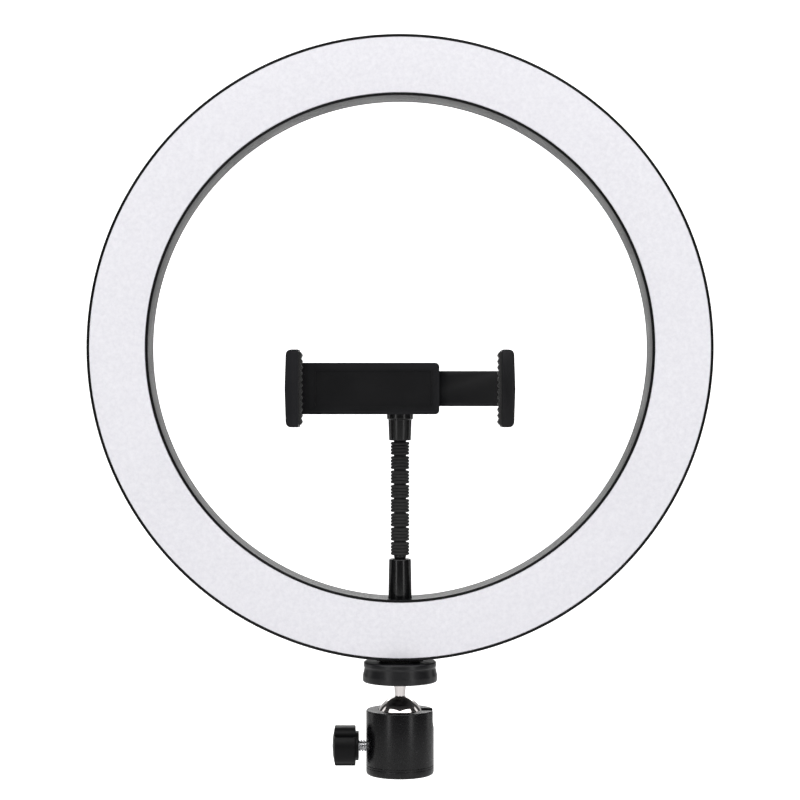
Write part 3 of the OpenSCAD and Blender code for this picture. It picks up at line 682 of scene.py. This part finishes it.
def screws(name, places, towards, turn, sizes, material, body, node):
    """Copies of one screw at several places; towards is the way that the heads look."""
    one = screw_mesh(*sizes)
    whole = bmesh.new()
    lean = Vector((0, 0, 1)).rotation_difference(Vector(towards)).to_matrix().to_4x4()
    for i, place in enumerate(places):
        copy = one.copy()
        copy.transform(Matrix.Translation(place) @ lean @ Matrix.Rotation(turn * (i + 1), 4, "Z"))
        whole.from_mesh(copy)
    return new_piece(name, whole, material, body, [node], sharp=30)


COVER_SCREW = (2.3 * MM, 1.35 * MM, 1.25 * MM, 6 * MM)  # head radius and height, shank radius, length
cover_places = [round_the_ring(screw_ring, a) + Vector((0, under_head, 0)) for a in screw_angles]
screws("cover_screw_set", cover_places, (0, 1, 0), 0.7, COVER_SCREW, BLACK_OXIDE, "light", "cover_screws")
print("cover screws", len(cover_places))

# %% [markdown]
# ## Cable gland
# The gland is moulded rubber. Rings along its tail let it bend without kinking the cable, and a flange
# on each side of the cover keeps it in the hole.

# %% Gland
tail = gland_high - BACK_Y
flange = 1.5 * MM
tail_r, tip_r, flange_r, bore_r, groove = 3.35 * MM, 2.9 * MM, 4.0 * MM, 2.0 * MM, 0.5 * MM
inner_flange = gland_low + 1.1 * MM
points = [(bore_r, gland_low), (flange_r, gland_low), (flange_r, inner_flange),
          (tail_r, inner_flange), (tail_r, BACK_Y), (flange_r, BACK_Y), (flange_r, BACK_Y + flange)]
rings = 4
pitch = (tail - flange) / rings
for k in range(rings):
    y = BACK_Y + flange + k * pitch
    r = tail_r + (tip_r - tail_r) * k / rings
    points += [(r - groove, y), (r - groove, y + pitch * 0.35), (r, y + pitch * 0.45), (r, y + pitch)]
points += [(bore_r, gland_high)]
new_piece("gland", lathe(fillet(points, 0.18 * MM, steps=3), (gland.x, 0, gland.z), "y", 64), RUBBER,
          "light", ["cable_gland"])
print("gland rings", rings)

# %% [markdown]
# ## Threads
# A thread is a ridge that climbs by one pitch for each turn. On a turned outline, the radius at a
# point then depends on its height and its angle together, so one small function gives every thread
# in the object: the lock screw, the stud on the platform and the tripod socket.

# %% Thread shape
INCH_PITCH = 25.4 / 20 * MM
INCH_DEPTH = 0.5 * MM


def thread(pitch, depth, crest, hollow=False):
    """For lathe: radius with a 60 degree thread cut into it, wherever the radius is at the crest."""
    def shape(angle, radius, height):
        if abs(radius - crest) > 1e-7:
            return radius
        phase = (height / pitch - angle / (2 * math.pi)) % 1.0
        ridge = min(1.0, max(0.0, 1.45 * (1 - 2 * abs(phase - 0.5)) - 0.15))
        return radius - depth * (ridge if hollow else 1 - ridge)
    return shape


def threaded(low, high, crest, pitch, rows=10):
    """Outline points along a threaded stretch."""
    count = max(2, round((high - low) / pitch * rows))
    return [(crest, low + (high - low) * k / count) for k in range(count + 1)]


print("pitch of 20 turns to the inch in mm", round(INCH_PITCH / MM, 2))


# %% [markdown]
# ## Ball head: body
# The body is turned from aluminium bar, anodised black. Its rim has a narrow bright land where the
# edge was broken, and two fine grooves near the foot hide the joint with the base plug. The notch in
# the rim lets the neck drop to 90 degrees for an upright picture. The whole section is swept first and
# the notch and the lock screw's hole are cut after, as on the real part.

# %% Body of the ball head
JOINTS = {j["name"]: j for j in frame["record"]["behaviour"]["joints"]}
BALL = Vector(JOINTS["head_tilt"]["pos_m"])
head_low, head_high = span("head_body", "z")
head_r = radii("head_body", "z", (0, 0, 0))[1]
ball_r = 9.9 * MM
bore = ball_r + 0.1 * MM
plug_r, plug_h = 10.53 * MM, span("base_plug", "z")[1]
lock_z = JOINTS["knob_turn"]["pos_m"][2]
drop = head_high - BALL.z
mouth = math.sqrt(bore ** 2 - drop ** 2)
grooves = [3.1 * MM, 4.0 * MM]
groove_w, groove_d = 0.16 * MM, 0.14 * MM
outer = [(plug_r, head_low), (head_r, head_low)]
rounds = [0.1 * MM, 1.3 * MM]
for z in grooves:
    outer += [(head_r, z - groove_w), (head_r - groove_d, z), (head_r, z + groove_w)]
    rounds += [0.04 * MM, 0.03 * MM, 0.04 * MM]
outer += [(head_r, head_high), (mouth + 0.15 * MM, head_high)]
rounds += [0.7 * MM, 0.12 * MM]
socket = [(bore * math.cos(a), BALL.z + bore * math.sin(a))
          for a in (math.asin(drop / bore) * (1 - k / 10) for k in range(1, 11))]
outer += socket + [(bore, plug_h), (plug_r, plug_h)]
rounds += [0] * (len(socket) + 2)
notch_r, notch_z, lock_hole_r = 3.65 * MM, BALL.z + 0.25 * MM, 2.55 * MM
notch_wall = box((ball_r / 2, -notch_r, notch_z), (head_r + MM, notch_r, head_high + MM))
body = carve("head_barrel", lathe(fillet(outer, rounds), (0, 0, 0), "z", 160), SATIN_COAT, "base",
             ["head_body"],
             cut=[notch_wall, rod((0, 0, notch_z), "x", notch_r, ball_r / 2, head_r + MM, 64),
                  rod((0, 0, lock_z), "x", lock_hole_r, -head_r - MM, -bore + MM, 48)],
             bevel=0.15 * MM, angle=40)
print("barrel faces", len(body.data.polygons))

# %% [markdown]
# The base plug is pressed into the barrel from below and carries the tripod thread, which has a
# quarter-inch diameter and 20 turns to the inch, the size that every small tripod uses. The thread
# could be a separate helix cut out by a boolean, but letting the swept radius rise and fall is
# lighter and can't leave stray faces.

# %% Base plug
socket_r = radii("base_plug", "z", (0, 0, 0))[0]
plug_out = plug_r - 0.03 * MM
inside = threaded(head_low + 0.5 * MM, plug_h, socket_r, INCH_PITCH)
points = [(plug_out, head_low + 0.3 * MM), (plug_out, plug_h)] + inside[::-1] + \
         [(socket_r + 0.02 * MM, head_low + 0.45 * MM), (socket_r + 0.4 * MM, head_low),
          (plug_out - 0.3 * MM, head_low)]
socket_thread = thread(INCH_PITCH, INCH_DEPTH, socket_r, True)
new_piece("tripod_plug", lathe(points, (0, 0, 0), "z", 72, shape=socket_thread), SATIN_COAT, "base",
          ["base_plug"], sharp=30)
print("tripod thread radius in mm", round(socket_r / MM, 3))

# %% [markdown]
# ## The ball and its neck
# One piece of steel, turned, polished and chromed. The neck grows a little wider towards the platform
# and meets the ball in a small fillet. A ready-made sphere and a cylinder would meet in a hard line,
# so both come from one outline. A mirror shows every facet, so the ball needs fine steps.

# %% Ball stud
neck_low, neck_high, neck_fillet = 2.15 * MM, 2.7 * MM, 0.55 * MM
platform_low, platform_high = span("platform", "z")
start = math.asin((neck_low + neck_fillet) / ball_r)
points = [(ball_r * math.sin(a), BALL.z - ball_r * math.cos(a))
          for a in ((math.pi - start) * k / 80 for k in range(81))]
points[0] = (0, BALL.z - ball_r)
joint_top = BALL.z + ball_r * math.cos(start)
points += [(neck_low + 0.2 * MM, joint_top + 0.13 * MM), (neck_low + 0.03 * MM, joint_top + 0.4 * MM),
           (neck_low + 0.02 * MM, joint_top + 0.7 * MM), (neck_high, platform_low - 0.05 * MM),
           (neck_high, platform_low + 4 * MM), (0, platform_low + 4 * MM)]
new_piece("chrome_ball", lathe(points, (0, 0, 0), "z", 144, closed=False), CHROME, "light", ["ball_stud"],
          sharp=50)
print("ball diameter in mm", round(2 * ball_r / MM, 1))

# %% [markdown]
# ## Platform and pad
# The platform is a turned cap with a slight waist. On top of it a rubber pad with fine teeth keeps the
# lamp from turning on its screw. The teeth show as a dark rim under the ring. The cap's outline
# needs only its corners, because the fillets give the waist its soft curve.

# %% Platform
platform_r = radii("platform", "z", (0, 0, 0))[1]
top_r, waist_r = platform_r - 0.4 * MM, platform_r - 0.6 * MM
neck_hole = neck_high + 0.02 * MM
stud_r = radii("platform_stud", "z", (0, 0, 0), (platform_high, 1))[0]
flange_at = platform_high - 1.4 * MM
flange_out = stud_r + 1.62 * MM
height = platform_high - platform_low
points = [(neck_hole, platform_low), (platform_r - 0.35 * MM, platform_low),
          (platform_r, platform_low + 0.5 * MM), (platform_r, platform_low + height * 0.32),
          (waist_r, platform_low + height * 0.64), (waist_r, platform_low + height * 0.72),
          (top_r, platform_low + height * 0.78), (top_r, platform_high),
          (flange_out, platform_high), (flange_out, flange_at), (neck_hole, flange_at)]
rounds = [0.1 * MM, 0.25 * MM, 0.3 * MM, 2 * MM, 1.5 * MM, 0.2 * MM, 0.25 * MM, 0.7 * MM, 0.1 * MM, 0, 0]
new_piece("platform_cap", lathe(fillet(points, rounds), (0, 0, 0), "z", 160), PLATFORM_ABS, "light",
          ["platform"])
print("platform radius and height in mm", round(platform_r / MM, 2), round(height / MM, 2))

# %% [markdown]
# The pad's teeth are made by the sweep itself: the radius is pulled in by a wave that repeats once
# for each tooth. That is lighter than cutting 52 grooves, and every tooth is exactly the same.

# %% Pad
pad_low, pad_high = span("platform_pad", "z")
pad_r = radii("platform_pad", "z", (0, 0, 0))[1]
PAD_TEETH, TOOTH_DEEP = 52, 0.5 * MM
pad_hole = stud_r + 0.3 * MM


def toothed(angle, radius, height):
    if radius < pad_r - 0.6 * MM:
        return radius
    return radius - TOOTH_DEEP * (0.5 - 0.5 * math.cos(angle * PAD_TEETH)) ** 0.7


points = fillet([(pad_hole, pad_low), (pad_r, pad_low), (pad_r, pad_high), (pad_hole, pad_high)],
                0.12 * MM, steps=2)
new_piece("ribbed_pad", lathe(points, (0, 0, 0), "z", PAD_TEETH * 8, shape=toothed), RUBBER, "light",
          ["platform_pad"], sharp=50)
print("pad teeth", PAD_TEETH)

# %% [markdown]
# The stud is a short quarter-inch screw with a flange, pressed into the platform. It holds the ring,
# and it hides inside it once the lamp is put together.

# %% Stud
stud_top = span("platform_stud", "z")[1]
stud_flange = flange_out - 0.02 * MM
points = [(0, flange_at), (stud_flange, flange_at), (stud_flange, platform_high),
          (stud_r - 0.5 * MM, platform_high)]
points += threaded(platform_high + 0.2 * MM, stud_top - 0.5 * MM, stud_r, INCH_PITCH)
points += [(stud_r - 0.55 * MM, stud_top), (0, stud_top)]
stud = lathe(points, (0, 0, 0), "z", 60, closed=False, shape=thread(INCH_PITCH, INCH_DEPTH, stud_r))
new_piece("quarter_inch_stud", stud, ZINC, "light", ["platform_stud"], sharp=30)
print("stud stands", round((stud_top - platform_high) / MM, 1), "mm above the platform")

# %% [markdown]
# ## Lock screw and knob
# The screw is an M5 with its thread left bare between the body and the knob, where it catches the
# light. Its pitch is 1.06 mm, a little coarser than on a standard M5.

# %% Lock screw
LOCK_PITCH, LOCK_DEPTH = 1.06 * MM, 0.58 * MM
screw_low, screw_high = span("lock_screw", "x")
lock_r = radii("lock_screw", "x", (0, 0, lock_z))[1]
screw_end_r = lock_r - 0.6 * MM
points = [(0, screw_low), (screw_end_r, screw_low)]
points += threaded(screw_low + 0.2 * MM, screw_high - 0.3 * MM, lock_r, LOCK_PITCH, 12)
points += [(screw_end_r, screw_high), (0, screw_high)]
lock_thread = thread(LOCK_PITCH, LOCK_DEPTH, lock_r)
lock_screw = lathe(points, (0, 0, lock_z), "x", 72, closed=False, shape=lock_thread)
new_piece("bare_lock_screw", lock_screw, ZINC, "lock", ["lock_screw"], sharp=60)
print("lock screw turns", round((screw_high - screw_low) / LOCK_PITCH, 1))

# %% [markdown]
# The knob is moulded with three finger scallops and a domed end. A scallop is the arc of a larger
# circle that passes by, so the sweep's radius is cut back wherever that circle reaches in.

# %% Lock knob
knob_out, knob_in = span("lock_knob", "x")
knob_r = radii("lock_knob", "x", (0, 0, lock_z))[1]
collar_r, collar_t = 6.15 * MM, 1.35 * MM
scallop_r, scallop_at = 3.2 * MM, knob_r + 1.44 * MM
scallops = [math.radians(250 - 120 * k) for k in range(3)]
shoulder = knob_in - collar_t
knob_bore, bore_end = lock_r + 0.06 * MM, shoulder - 4 * MM


def scalloped(angle, radius, height):
    """The knob's radius, pulled in where a finger scallop passes."""
    if radius < collar_r + 0.2 * MM:
        return radius
    for middle_angle in scallops:
        off = abs((angle - middle_angle + math.pi) % (2 * math.pi) - math.pi)
        under = scallop_r ** 2 - (scallop_at * math.sin(off)) ** 2
        if under > 0 and off < math.pi / 2:
            radius = min(radius, scallop_at * math.cos(off) - math.sqrt(under))
    return radius


points = [(0, knob_out), (knob_r * 0.5, knob_out + 0.3 * MM), (knob_r, knob_out + 1.1 * MM),
          (knob_r, shoulder), (collar_r, shoulder), (collar_r, knob_in), (knob_bore, knob_in),
          (knob_bore, bore_end), (0, bore_end)]
rounds = [0, 3 * MM, 0.5 * MM, 0.4 * MM, 0.3 * MM, 0.3 * MM, 0.15 * MM, 0, 0]
outline = fillet(points, rounds, closed=False)
knob = lathe(outline, (0, 0, lock_z), "x", 180, closed=False, shape=scalloped)
new_piece("scalloped_knob", knob, KNOB_ABS, "lock", ["lock_knob"], sharp=32)
print("finger scallops", len(scallops))

# %% [markdown]
# ## Stem and gooseneck
# The phone holder stands on a steel sleeve screwed into the ring. Above it a flexible hose, covered in
# ribbed rubber, bends at every rib. It is made here of eight short links, each with a round socket
# below and a ball above, so that it can bend without a gap opening in it.

# %% Stem foot
LINKS = [n for n in frame["nodes"] if n.startswith("gooseneck_link_")]
first_hinge = JOINTS["gooseneck_bend_1"]["pos_m"][2]
link_len = JOINTS["gooseneck_bend_2"]["pos_m"][2] - first_hinge
knuckle_r, cup_r, half_gap = 2.6 * MM, 2.66 * MM, 0.3 * MM
rib_out, rib_in, ribs = 4.0 * MM, 3.4 * MM, 4


def knuckle(centre_z, from_z):
    """Outline of a ball, from the height where it leaves its link up to its top."""
    begin = math.asin((from_z - centre_z) / knuckle_r)
    angles = [begin + (math.pi / 2 - begin) * k / 12 for k in range(13)]
    return [(knuckle_r * math.cos(a), centre_z + knuckle_r * math.sin(a)) for a in angles[:-1]] + \
        [(0, centre_z + knuckle_r)]


def hollow(centre_z, to_z):
    """Outline of a socket, from its top down to its mouth."""
    end = math.asin((to_z - centre_z) / cup_r)
    angles = [math.pi / 2 + (end - math.pi / 2) * k / 8 for k in range(9)]
    arc = [(cup_r * math.cos(a), centre_z + cup_r * math.sin(a)) for a in angles[1:]]
    return [(0, centre_z + cup_r)] + arc


foot_r = radii("stem_foot", "z", (0, 0, 0))[1]
foot_top_r, spigot_r = foot_r - 0.3 * MM, 3.0 * MM
foot_top = first_hinge - 1.2 * MM
outline = fillet([(0, stem_low), (spigot_r, stem_low), (spigot_r, foot_z), (foot_r, foot_z),
                  (foot_top_r, foot_top), (knuckle_r * 0.75, foot_top)],
                 [0, 0.4 * MM, 0.1 * MM, 0.25 * MM, 0.7 * MM, 0.1 * MM], closed=False)
post_r, post_top = 1.7 * MM, first_hinge - 1.95 * MM
points = outline[:-1] + [(post_r, foot_top)] + knuckle(first_hinge, post_top)
foot = lathe(points, (0, 0, 0), "z", 96, closed=False)
new_piece("stem_sleeve", foot, GLOSS_COAT, "light", ["stem_foot"], sharp=40)
print("first hinge at", round(first_hinge / MM, 1), "mm, links of", round(link_len / MM, 2), "mm")

# %% [markdown]
# The hose is wound with ribs, four to each link. One loop makes all the links: each has the ribbed
# side, a socket below that hides the ball of the link under it, and its own ball on top.

# %% Gooseneck links
for node in LINKS:
    number = int(node.rsplit("_", 1)[1])
    low = first_hinge + (number - 1) * link_len
    high = low + link_len
    rib = (link_len - 2 * half_gap) / ribs
    side = [(rib_in, low + half_gap)]
    for k in range(ribs):
        at = low + half_gap + k * rib
        for t in (0.15, 0.3, 0.5, 0.7, 0.85):
            side.append((rib_in + (rib_out - rib_in) * math.sin(math.pi * t) ** 0.6, at + rib * t))
        side.append((rib_in, at + rib))
    points = hollow(low, low + half_gap) + side + knuckle(high, high - half_gap)
    link = lathe(points, (0, 0, 0), "z", 64, closed=False)
    new_piece("hose_" + str(number), link, RUBBER, "link_" + str(number), [node],
              sharp=60)
print("gooseneck links", len(LINKS))

# %% [markdown]
# A second sleeve closes the top of the hose and widens into a block, which holds the pin of the phone
# holder's ball joint.

# %% Stem head
head_top = span("stem_head", "z")[1]
last_hinge = first_hinge + len(LINKS) * link_len
block_r = radii("stem_head", "z", (0, 0, 0))[1]
sleeve_top = last_hinge + 9 * MM
sleeve_mouth = last_hinge + half_gap
chamfer = 2 * MM
points = fillet([(cup_r, sleeve_mouth), (foot_top_r, sleeve_mouth), (foot_r, sleeve_top),
                 (block_r, sleeve_top + 0.3 * MM), (block_r, head_top - chamfer),
                 (block_r - chamfer, head_top), (0, head_top)],
                [0, 0.4 * MM, 0.3 * MM, 0.4 * MM, 0.6 * MM, 0.6 * MM, 0], closed=False)
block = lathe(hollow(last_hinge, sleeve_mouth)[:-1] + points, (0, 0, 0), "z", 96, closed=False)
new_piece("stem_block", block, GLOSS_COAT, "holder_top", ["stem_head"], sharp=40)
print("last hinge at", round(last_hinge / MM, 1), "mm")

# %% [markdown]
# ## Phone holder: collar
# A fluted collar presses the nylon cup onto the ball and locks the clamp's angle. Like the pad's
# teeth, its flutes are a wave in the sweep's radius, here with flat lands between the grooves.

# %% Fluted collar
HOLD = Vector(JOINTS["clamp_tilt"]["pos_m"])
HOLD_AXIS = (HOLD.x, 0, HOLD.z)
collar_low, collar_high = span("socket_collar", "y")
nut_r = radii("socket_collar", "y", HOLD)[1]
mouth_in, mouth_out, front_t = 4.45 * MM, 7.1 * MM, 1.1 * MM
FLUTES, FLUTE_DEEP = 18, 0.55 * MM


def fluted(angle, radius, height):
    if radius < nut_r - 0.7 * MM:
        return radius
    return radius - FLUTE_DEEP * max(0.0, math.cos(angle * FLUTES)) ** 1.5


points = fillet([(mouth_out, collar_low), (nut_r, collar_low), (nut_r, collar_high),
                 (mouth_in, collar_high), (mouth_in, collar_high - front_t),
                 (mouth_out, collar_high - front_t)],
                [0.1 * MM, 0.35 * MM, 0.6 * MM, 0.3 * MM, 0.1 * MM, 0.1 * MM], steps=3)
new_piece("fluted_collar", lathe(points, HOLD_AXIS, "y", FLUTES * 12, shape=fluted), KNOB_ABS, "collar",
          ["socket_collar"], sharp=50)
print("collar flutes", FLUTES)

# %% [markdown]
# ## Phone holder: clamp
# The clamp is a shell with a fixed jaw, a cover behind it and an arm that slides out of its open end.
# Each jaw is a plate whose outer side bulges a little, with a larger radius at its top. All of these
# are outlines seen from the front and pulled straight back, so one helper turns an outline in X and
# Z into a solid, and the two jaws share one outline, mirrored.

# %% Clamp outlines
def slab(outline, low, high):
    """An outline in X and Z pulled from one Y to another."""
    mesh = bmesh.new()
    front = [mesh.verts.new((x, low, z)) for x, z in outline]
    back = [mesh.verts.new((x, high, z)) for x, z in outline]
    count = len(outline)
    mesh.faces.new(front)
    mesh.faces.new(back[::-1])
    for k in range(count):
        n = (k + 1) % count
        mesh.faces.new((front[k], back[k], back[n], front[n]))
    return mesh


def rounded(x1, x2, z1, z2, r, steps=8):
    return fillet([(x1, z1), (x2, z1), (x2, z2), (x1, z2)], r, steps)


COVER_T, SHELL_T = 2.5 * MM, 10 * MM
JAW_REAR = span("clamp_cover", "y")[0] + COVER_T
shell_high = span("clamp_cover", "x")[1]
jaw_front = span("clamp_shell", "y")[0]
face_y = JAW_REAR - SHELL_T
seam_y = JAW_REAR - COVER_T
clamp_z1, clamp_z2 = span("clamp_cover", "z")
pad_x = span("sliding_pad", "x")
jaw_out = span("slide_arm", "x")[1]
jaw_z1, jaw_z2 = span("slide_arm", "z")


def jaw_outline(sign):
    """One jaw from the front: straight beside its pad, bulging on the outside."""
    inner, outer = pad_x[1], jaw_out
    bulge = 0.5 * MM
    points = [(inner, jaw_z1), (outer - bulge, jaw_z1), (outer, HOLD.z), (outer - bulge, jaw_z2),
              (inner, jaw_z2)]
    corner = fillet(points, [0, 3 * MM, 12 * MM, 4.6 * MM, 0], steps=8)
    return [(sign * x, z) for x, z in corner]


print("jaw height in mm", round((jaw_z2 - jaw_z1) / MM, 1))

# %% [markdown]
# Solids are joined and cut, and then all sharp edges are eased by 0.45 mm, as a moulding tool would.
# The channel for the sliding arm is open at one end. A shallow panel is sunk into the front, which
# stiffens a thin wall without making it thicker.

# %% Clamp shell
channel_x = -pad_x[0] + 3.4 * MM
channel_deep, play = 5.4 * MM, 0.1 * MM
tongue_y1, tongue_y2 = seam_y - 3.5 * MM, seam_y - play
tongue_half = 7.2 * MM
channel = box((channel_x, seam_y - channel_deep, HOLD.z - tongue_half - play),
              (shell_high + MM, seam_y + MM, HOLD.z + tongue_half + play))
plate_outline = rounded(-pad_x[0], shell_high, clamp_z1, clamp_z2, 2 * MM)
jaw_root = box((-pad_x[1] - 0.8 * MM, face_y, clamp_z1), (-pad_x[0] + 3 * MM, seam_y, clamp_z2))
rim, panel_deep = 3.2 * MM, 0.35 * MM
panel_outline = rounded(-pad_x[0] + 5 * MM, shell_high - rim, clamp_z1 + rim, clamp_z2 - rim, 1.2 * MM)
panel = slab(panel_outline, face_y - MM, face_y + panel_deep)
carve("clamp_front", slab(plate_outline, face_y, seam_y), CLAMP_ABS, "clamp", ["clamp_shell"],
      joined=[slab(jaw_outline(-1), jaw_front, seam_y), jaw_root],
      cut=[channel, panel], bevel=0.45 * MM, angle=50)
print("channel height in mm", round(2 * (tongue_half + play) / MM, 1))

# %% [markdown]
# The cover closes the shell from behind with four small screws, and carries a round boss with the
# nylon cup in it. Its outline is the shell's own, so the two edges meet all the way round.

# %% Clamp cover and screws
boss_r, cup_hole_r, recess_r, recess_deep = 7.05 * MM, 6.0 * MM, 1.75 * MM, 1.1 * MM
holes_x = [channel_x - 1.7 * MM, shell_high - 2.2 * MM]
holes_z = (clamp_z2 - clamp_z1) / 2 - 1.85 * MM
screw_places = [Vector((x, 0, HOLD.z + s * holes_z)) for x in holes_x for s in (-1, 1)]
boss = rod(HOLD_AXIS, "y", boss_r, JAW_REAR - MM, span("clamp_cover", "y")[1], 96)
cup_hole = rod(HOLD_AXIS, "y", cup_hole_r, seam_y - MM, JAW_REAR + 20 * MM, 96)
recesses = [rod(p, "y", recess_r, JAW_REAR - recess_deep, JAW_REAR + MM, 32) for p in screw_places]
carve("clamp_back", slab(plate_outline, seam_y, JAW_REAR), CLAMP_ABS, "clamp", ["clamp_cover"],
      joined=[boss], cut=[cup_hole] + recesses, bevel=0.3 * MM, angle=50)

CLAMP_SCREW = (1.6 * MM, 1.0 * MM, 0.9 * MM, 4 * MM)  # head radius and height, shank radius, length
head_places = [p + Vector((0, JAW_REAR - recess_deep, 0)) for p in screw_places]
screws("clamp_screw_set", head_places, (0, 1, 0), 0.9, CLAMP_SCREW, BLACK_OXIDE, "clamp", "clamp_screws")
print("clamp screws", len(head_places))

# %% [markdown]
# The sliding arm is a flat tongue with a slot for the spring, and its own jaw at the end. The tongue
# is thinner than the jaw, so they are two solids, joined before the edges are eased. That way the
# corner between them is eased too, as on a moulding.

# %% Sliding arm
tongue_left = span("slide_arm", "x")[0]
spring_x = span("clamp_spring", "x")
slot_half = 3.5 * MM
tongue = box((tongue_left, tongue_y1, HOLD.z - tongue_half),
             (pad_x[1] + MM, tongue_y2, HOLD.z + tongue_half))
slot_cut = box((tongue_left - MM, tongue_y1 - MM, HOLD.z - slot_half),
               (spring_x[1], tongue_y2 + MM, HOLD.z + slot_half))
carve("sliding_jaw", slab(jaw_outline(1), jaw_front, JAW_REAR), CLAMP_ABS, "arm", ["slide_arm"],
      joined=[tongue], cut=[slot_cut], bevel=0.45 * MM, angle=50)
print("tongue from", round(tongue_left / MM, 1), "to", round(pad_x[1] / MM, 1), "mm")

# %% [markdown]
# ## Pads
# Rubber pads with cross ribs line the jaws. A pad is an outline too: its face is a wave with a dozen
# crests, pulled across the jaw. The ribs are what tell the eye that this is a real clamp.

# %% Ribbed pads
def ribbed_pad(name, node, sign, body):
    (x1, y1, z1), (x2, y2, z2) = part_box(node)
    face, back = (x1, x2) if sign > 0 else (x2, x1)
    count, rib_deep = 12, 0.55 * MM
    pitch = (z2 - z1) / count
    outline = [(back, z1), (back, z2)]
    for k in range(count * 6, -1, -1):
        wave = 0.5 - 0.5 * math.cos(2 * math.pi * k / 6)
        outline.append((face + sign * rib_deep * (1 - wave), z1 + k * pitch / 6))
    return new_piece(name, slab(outline, y1, y2), RUBBER, body, [node], sharp=50)


right_pad = ribbed_pad("sliding_jaw_pad", "sliding_pad", 1, "arm")
left_pad = ribbed_pad("fixed_jaw_pad", "fixed_pad", -1, "clamp")
print("pads", right_pad.name, left_pad.name)

# %% [markdown]
# ## Return spring
# The spring that closes the jaws is wound from 0.6 mm wire. A loop places points along a helix and a
# small tube follows them.

# %% Return spring
def tube(path, radius, sides=8):
    """A closed wire along a path of points."""
    mesh = bmesh.new()
    loops = []
    for i, p in enumerate(path):
        ahead = (path[min(i + 1, len(path) - 1)] - path[max(i - 1, 0)]).normalized()
        across = ahead.cross(Vector((1, 0, 0)))
        if across.length < 0.1:
            across = ahead.cross(Vector((0, 0, 1)))
        across.normalize()
        other = ahead.cross(across)
        loops.append([mesh.verts.new(p + radius * (across * math.cos(a) + other * math.sin(a)))
                      for a in (2 * math.pi * k / sides for k in range(sides))])
    for one, two in zip(loops, loops[1:]):
        for k in range(sides):
            n = (k + 1) % sides
            mesh.faces.new((one[k], one[n], two[n], two[k]))
    mesh.faces.new(loops[0][::-1])
    mesh.faces.new(loops[-1])
    return mesh


wire_r = 0.3 * MM
coil_r = (span("clamp_spring", "z")[1] - HOLD.z) - wire_r
spring_y = middle("clamp_spring").y
turns, per_turn = 24, 18
coil = []
for k in range(turns * per_turn + 1):
    a = 2 * math.pi * k / per_turn
    x = spring_x[0] + wire_r + (spring_x[1] - spring_x[0] - 2 * wire_r) * k / (turns * per_turn)
    coil.append(Vector((x, spring_y + coil_r * math.cos(a), HOLD.z + coil_r * math.sin(a))))
spring = new_piece("return_spring", tube(coil, wire_r), SPRING_STEEL, "clamp", ["clamp_spring"],
                   sharp=80)
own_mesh(spring)
print("spring turns", turns)

# %% [markdown]
# ## CAD pieces that stay
# Shells with bosses and screw recesses are already right in the CAD model. They keep their meshes and
# only take a finish.

# %% Finishes for CAD pieces
FINISH = {
    "ring_housing": HOUSING_ABS, "rear_cover": HOUSING_ABS, "led_board": SOLDER_MASK,
    "led_chips_warm": WARM_PHOSPHOR, "led_chips_cool": COOL_PHOSPHOR, "board_screws": ZINC,
    "cover_screws": BLACK_OXIDE, "cable_gland": RUBBER, "mount_insert": BRASS,
    "head_body": SATIN_COAT, "base_plug": SATIN_COAT, "lifter": BRASS, "ball_seat": NYLON,
    "ball_stud": CHROME, "wedge_pin": BRASS, "lock_screw": ZINC, "lock_knob": KNOB_ABS,
    "platform": PLATFORM_ABS, "platform_pad": RUBBER, "platform_stud": ZINC, "stem_foot": GLOSS_COAT,
    "stem_nut": ZINC, "stem_head": GLOSS_COAT, "holder_ball_pin": ZINC, "socket_cup": NYLON,
    "socket_collar": KNOB_ABS, "clamp_cover": CLAMP_ABS, "clamp_shell": CLAMP_ABS,
    "clamp_screws": BLACK_OXIDE, "slide_arm": CLAMP_ABS, "clamp_spring": SPRING_STEEL,
    "fixed_pad": RUBBER, "sliding_pad": RUBBER,
}
for node, piece in frame["nodes"].items():
    finish = FINISH.get(node, RUBBER)
    piece.data.materials.clear()
    piece.data.materials.append(finish)
print("finished", len(frame["nodes"]), "CAD pieces")
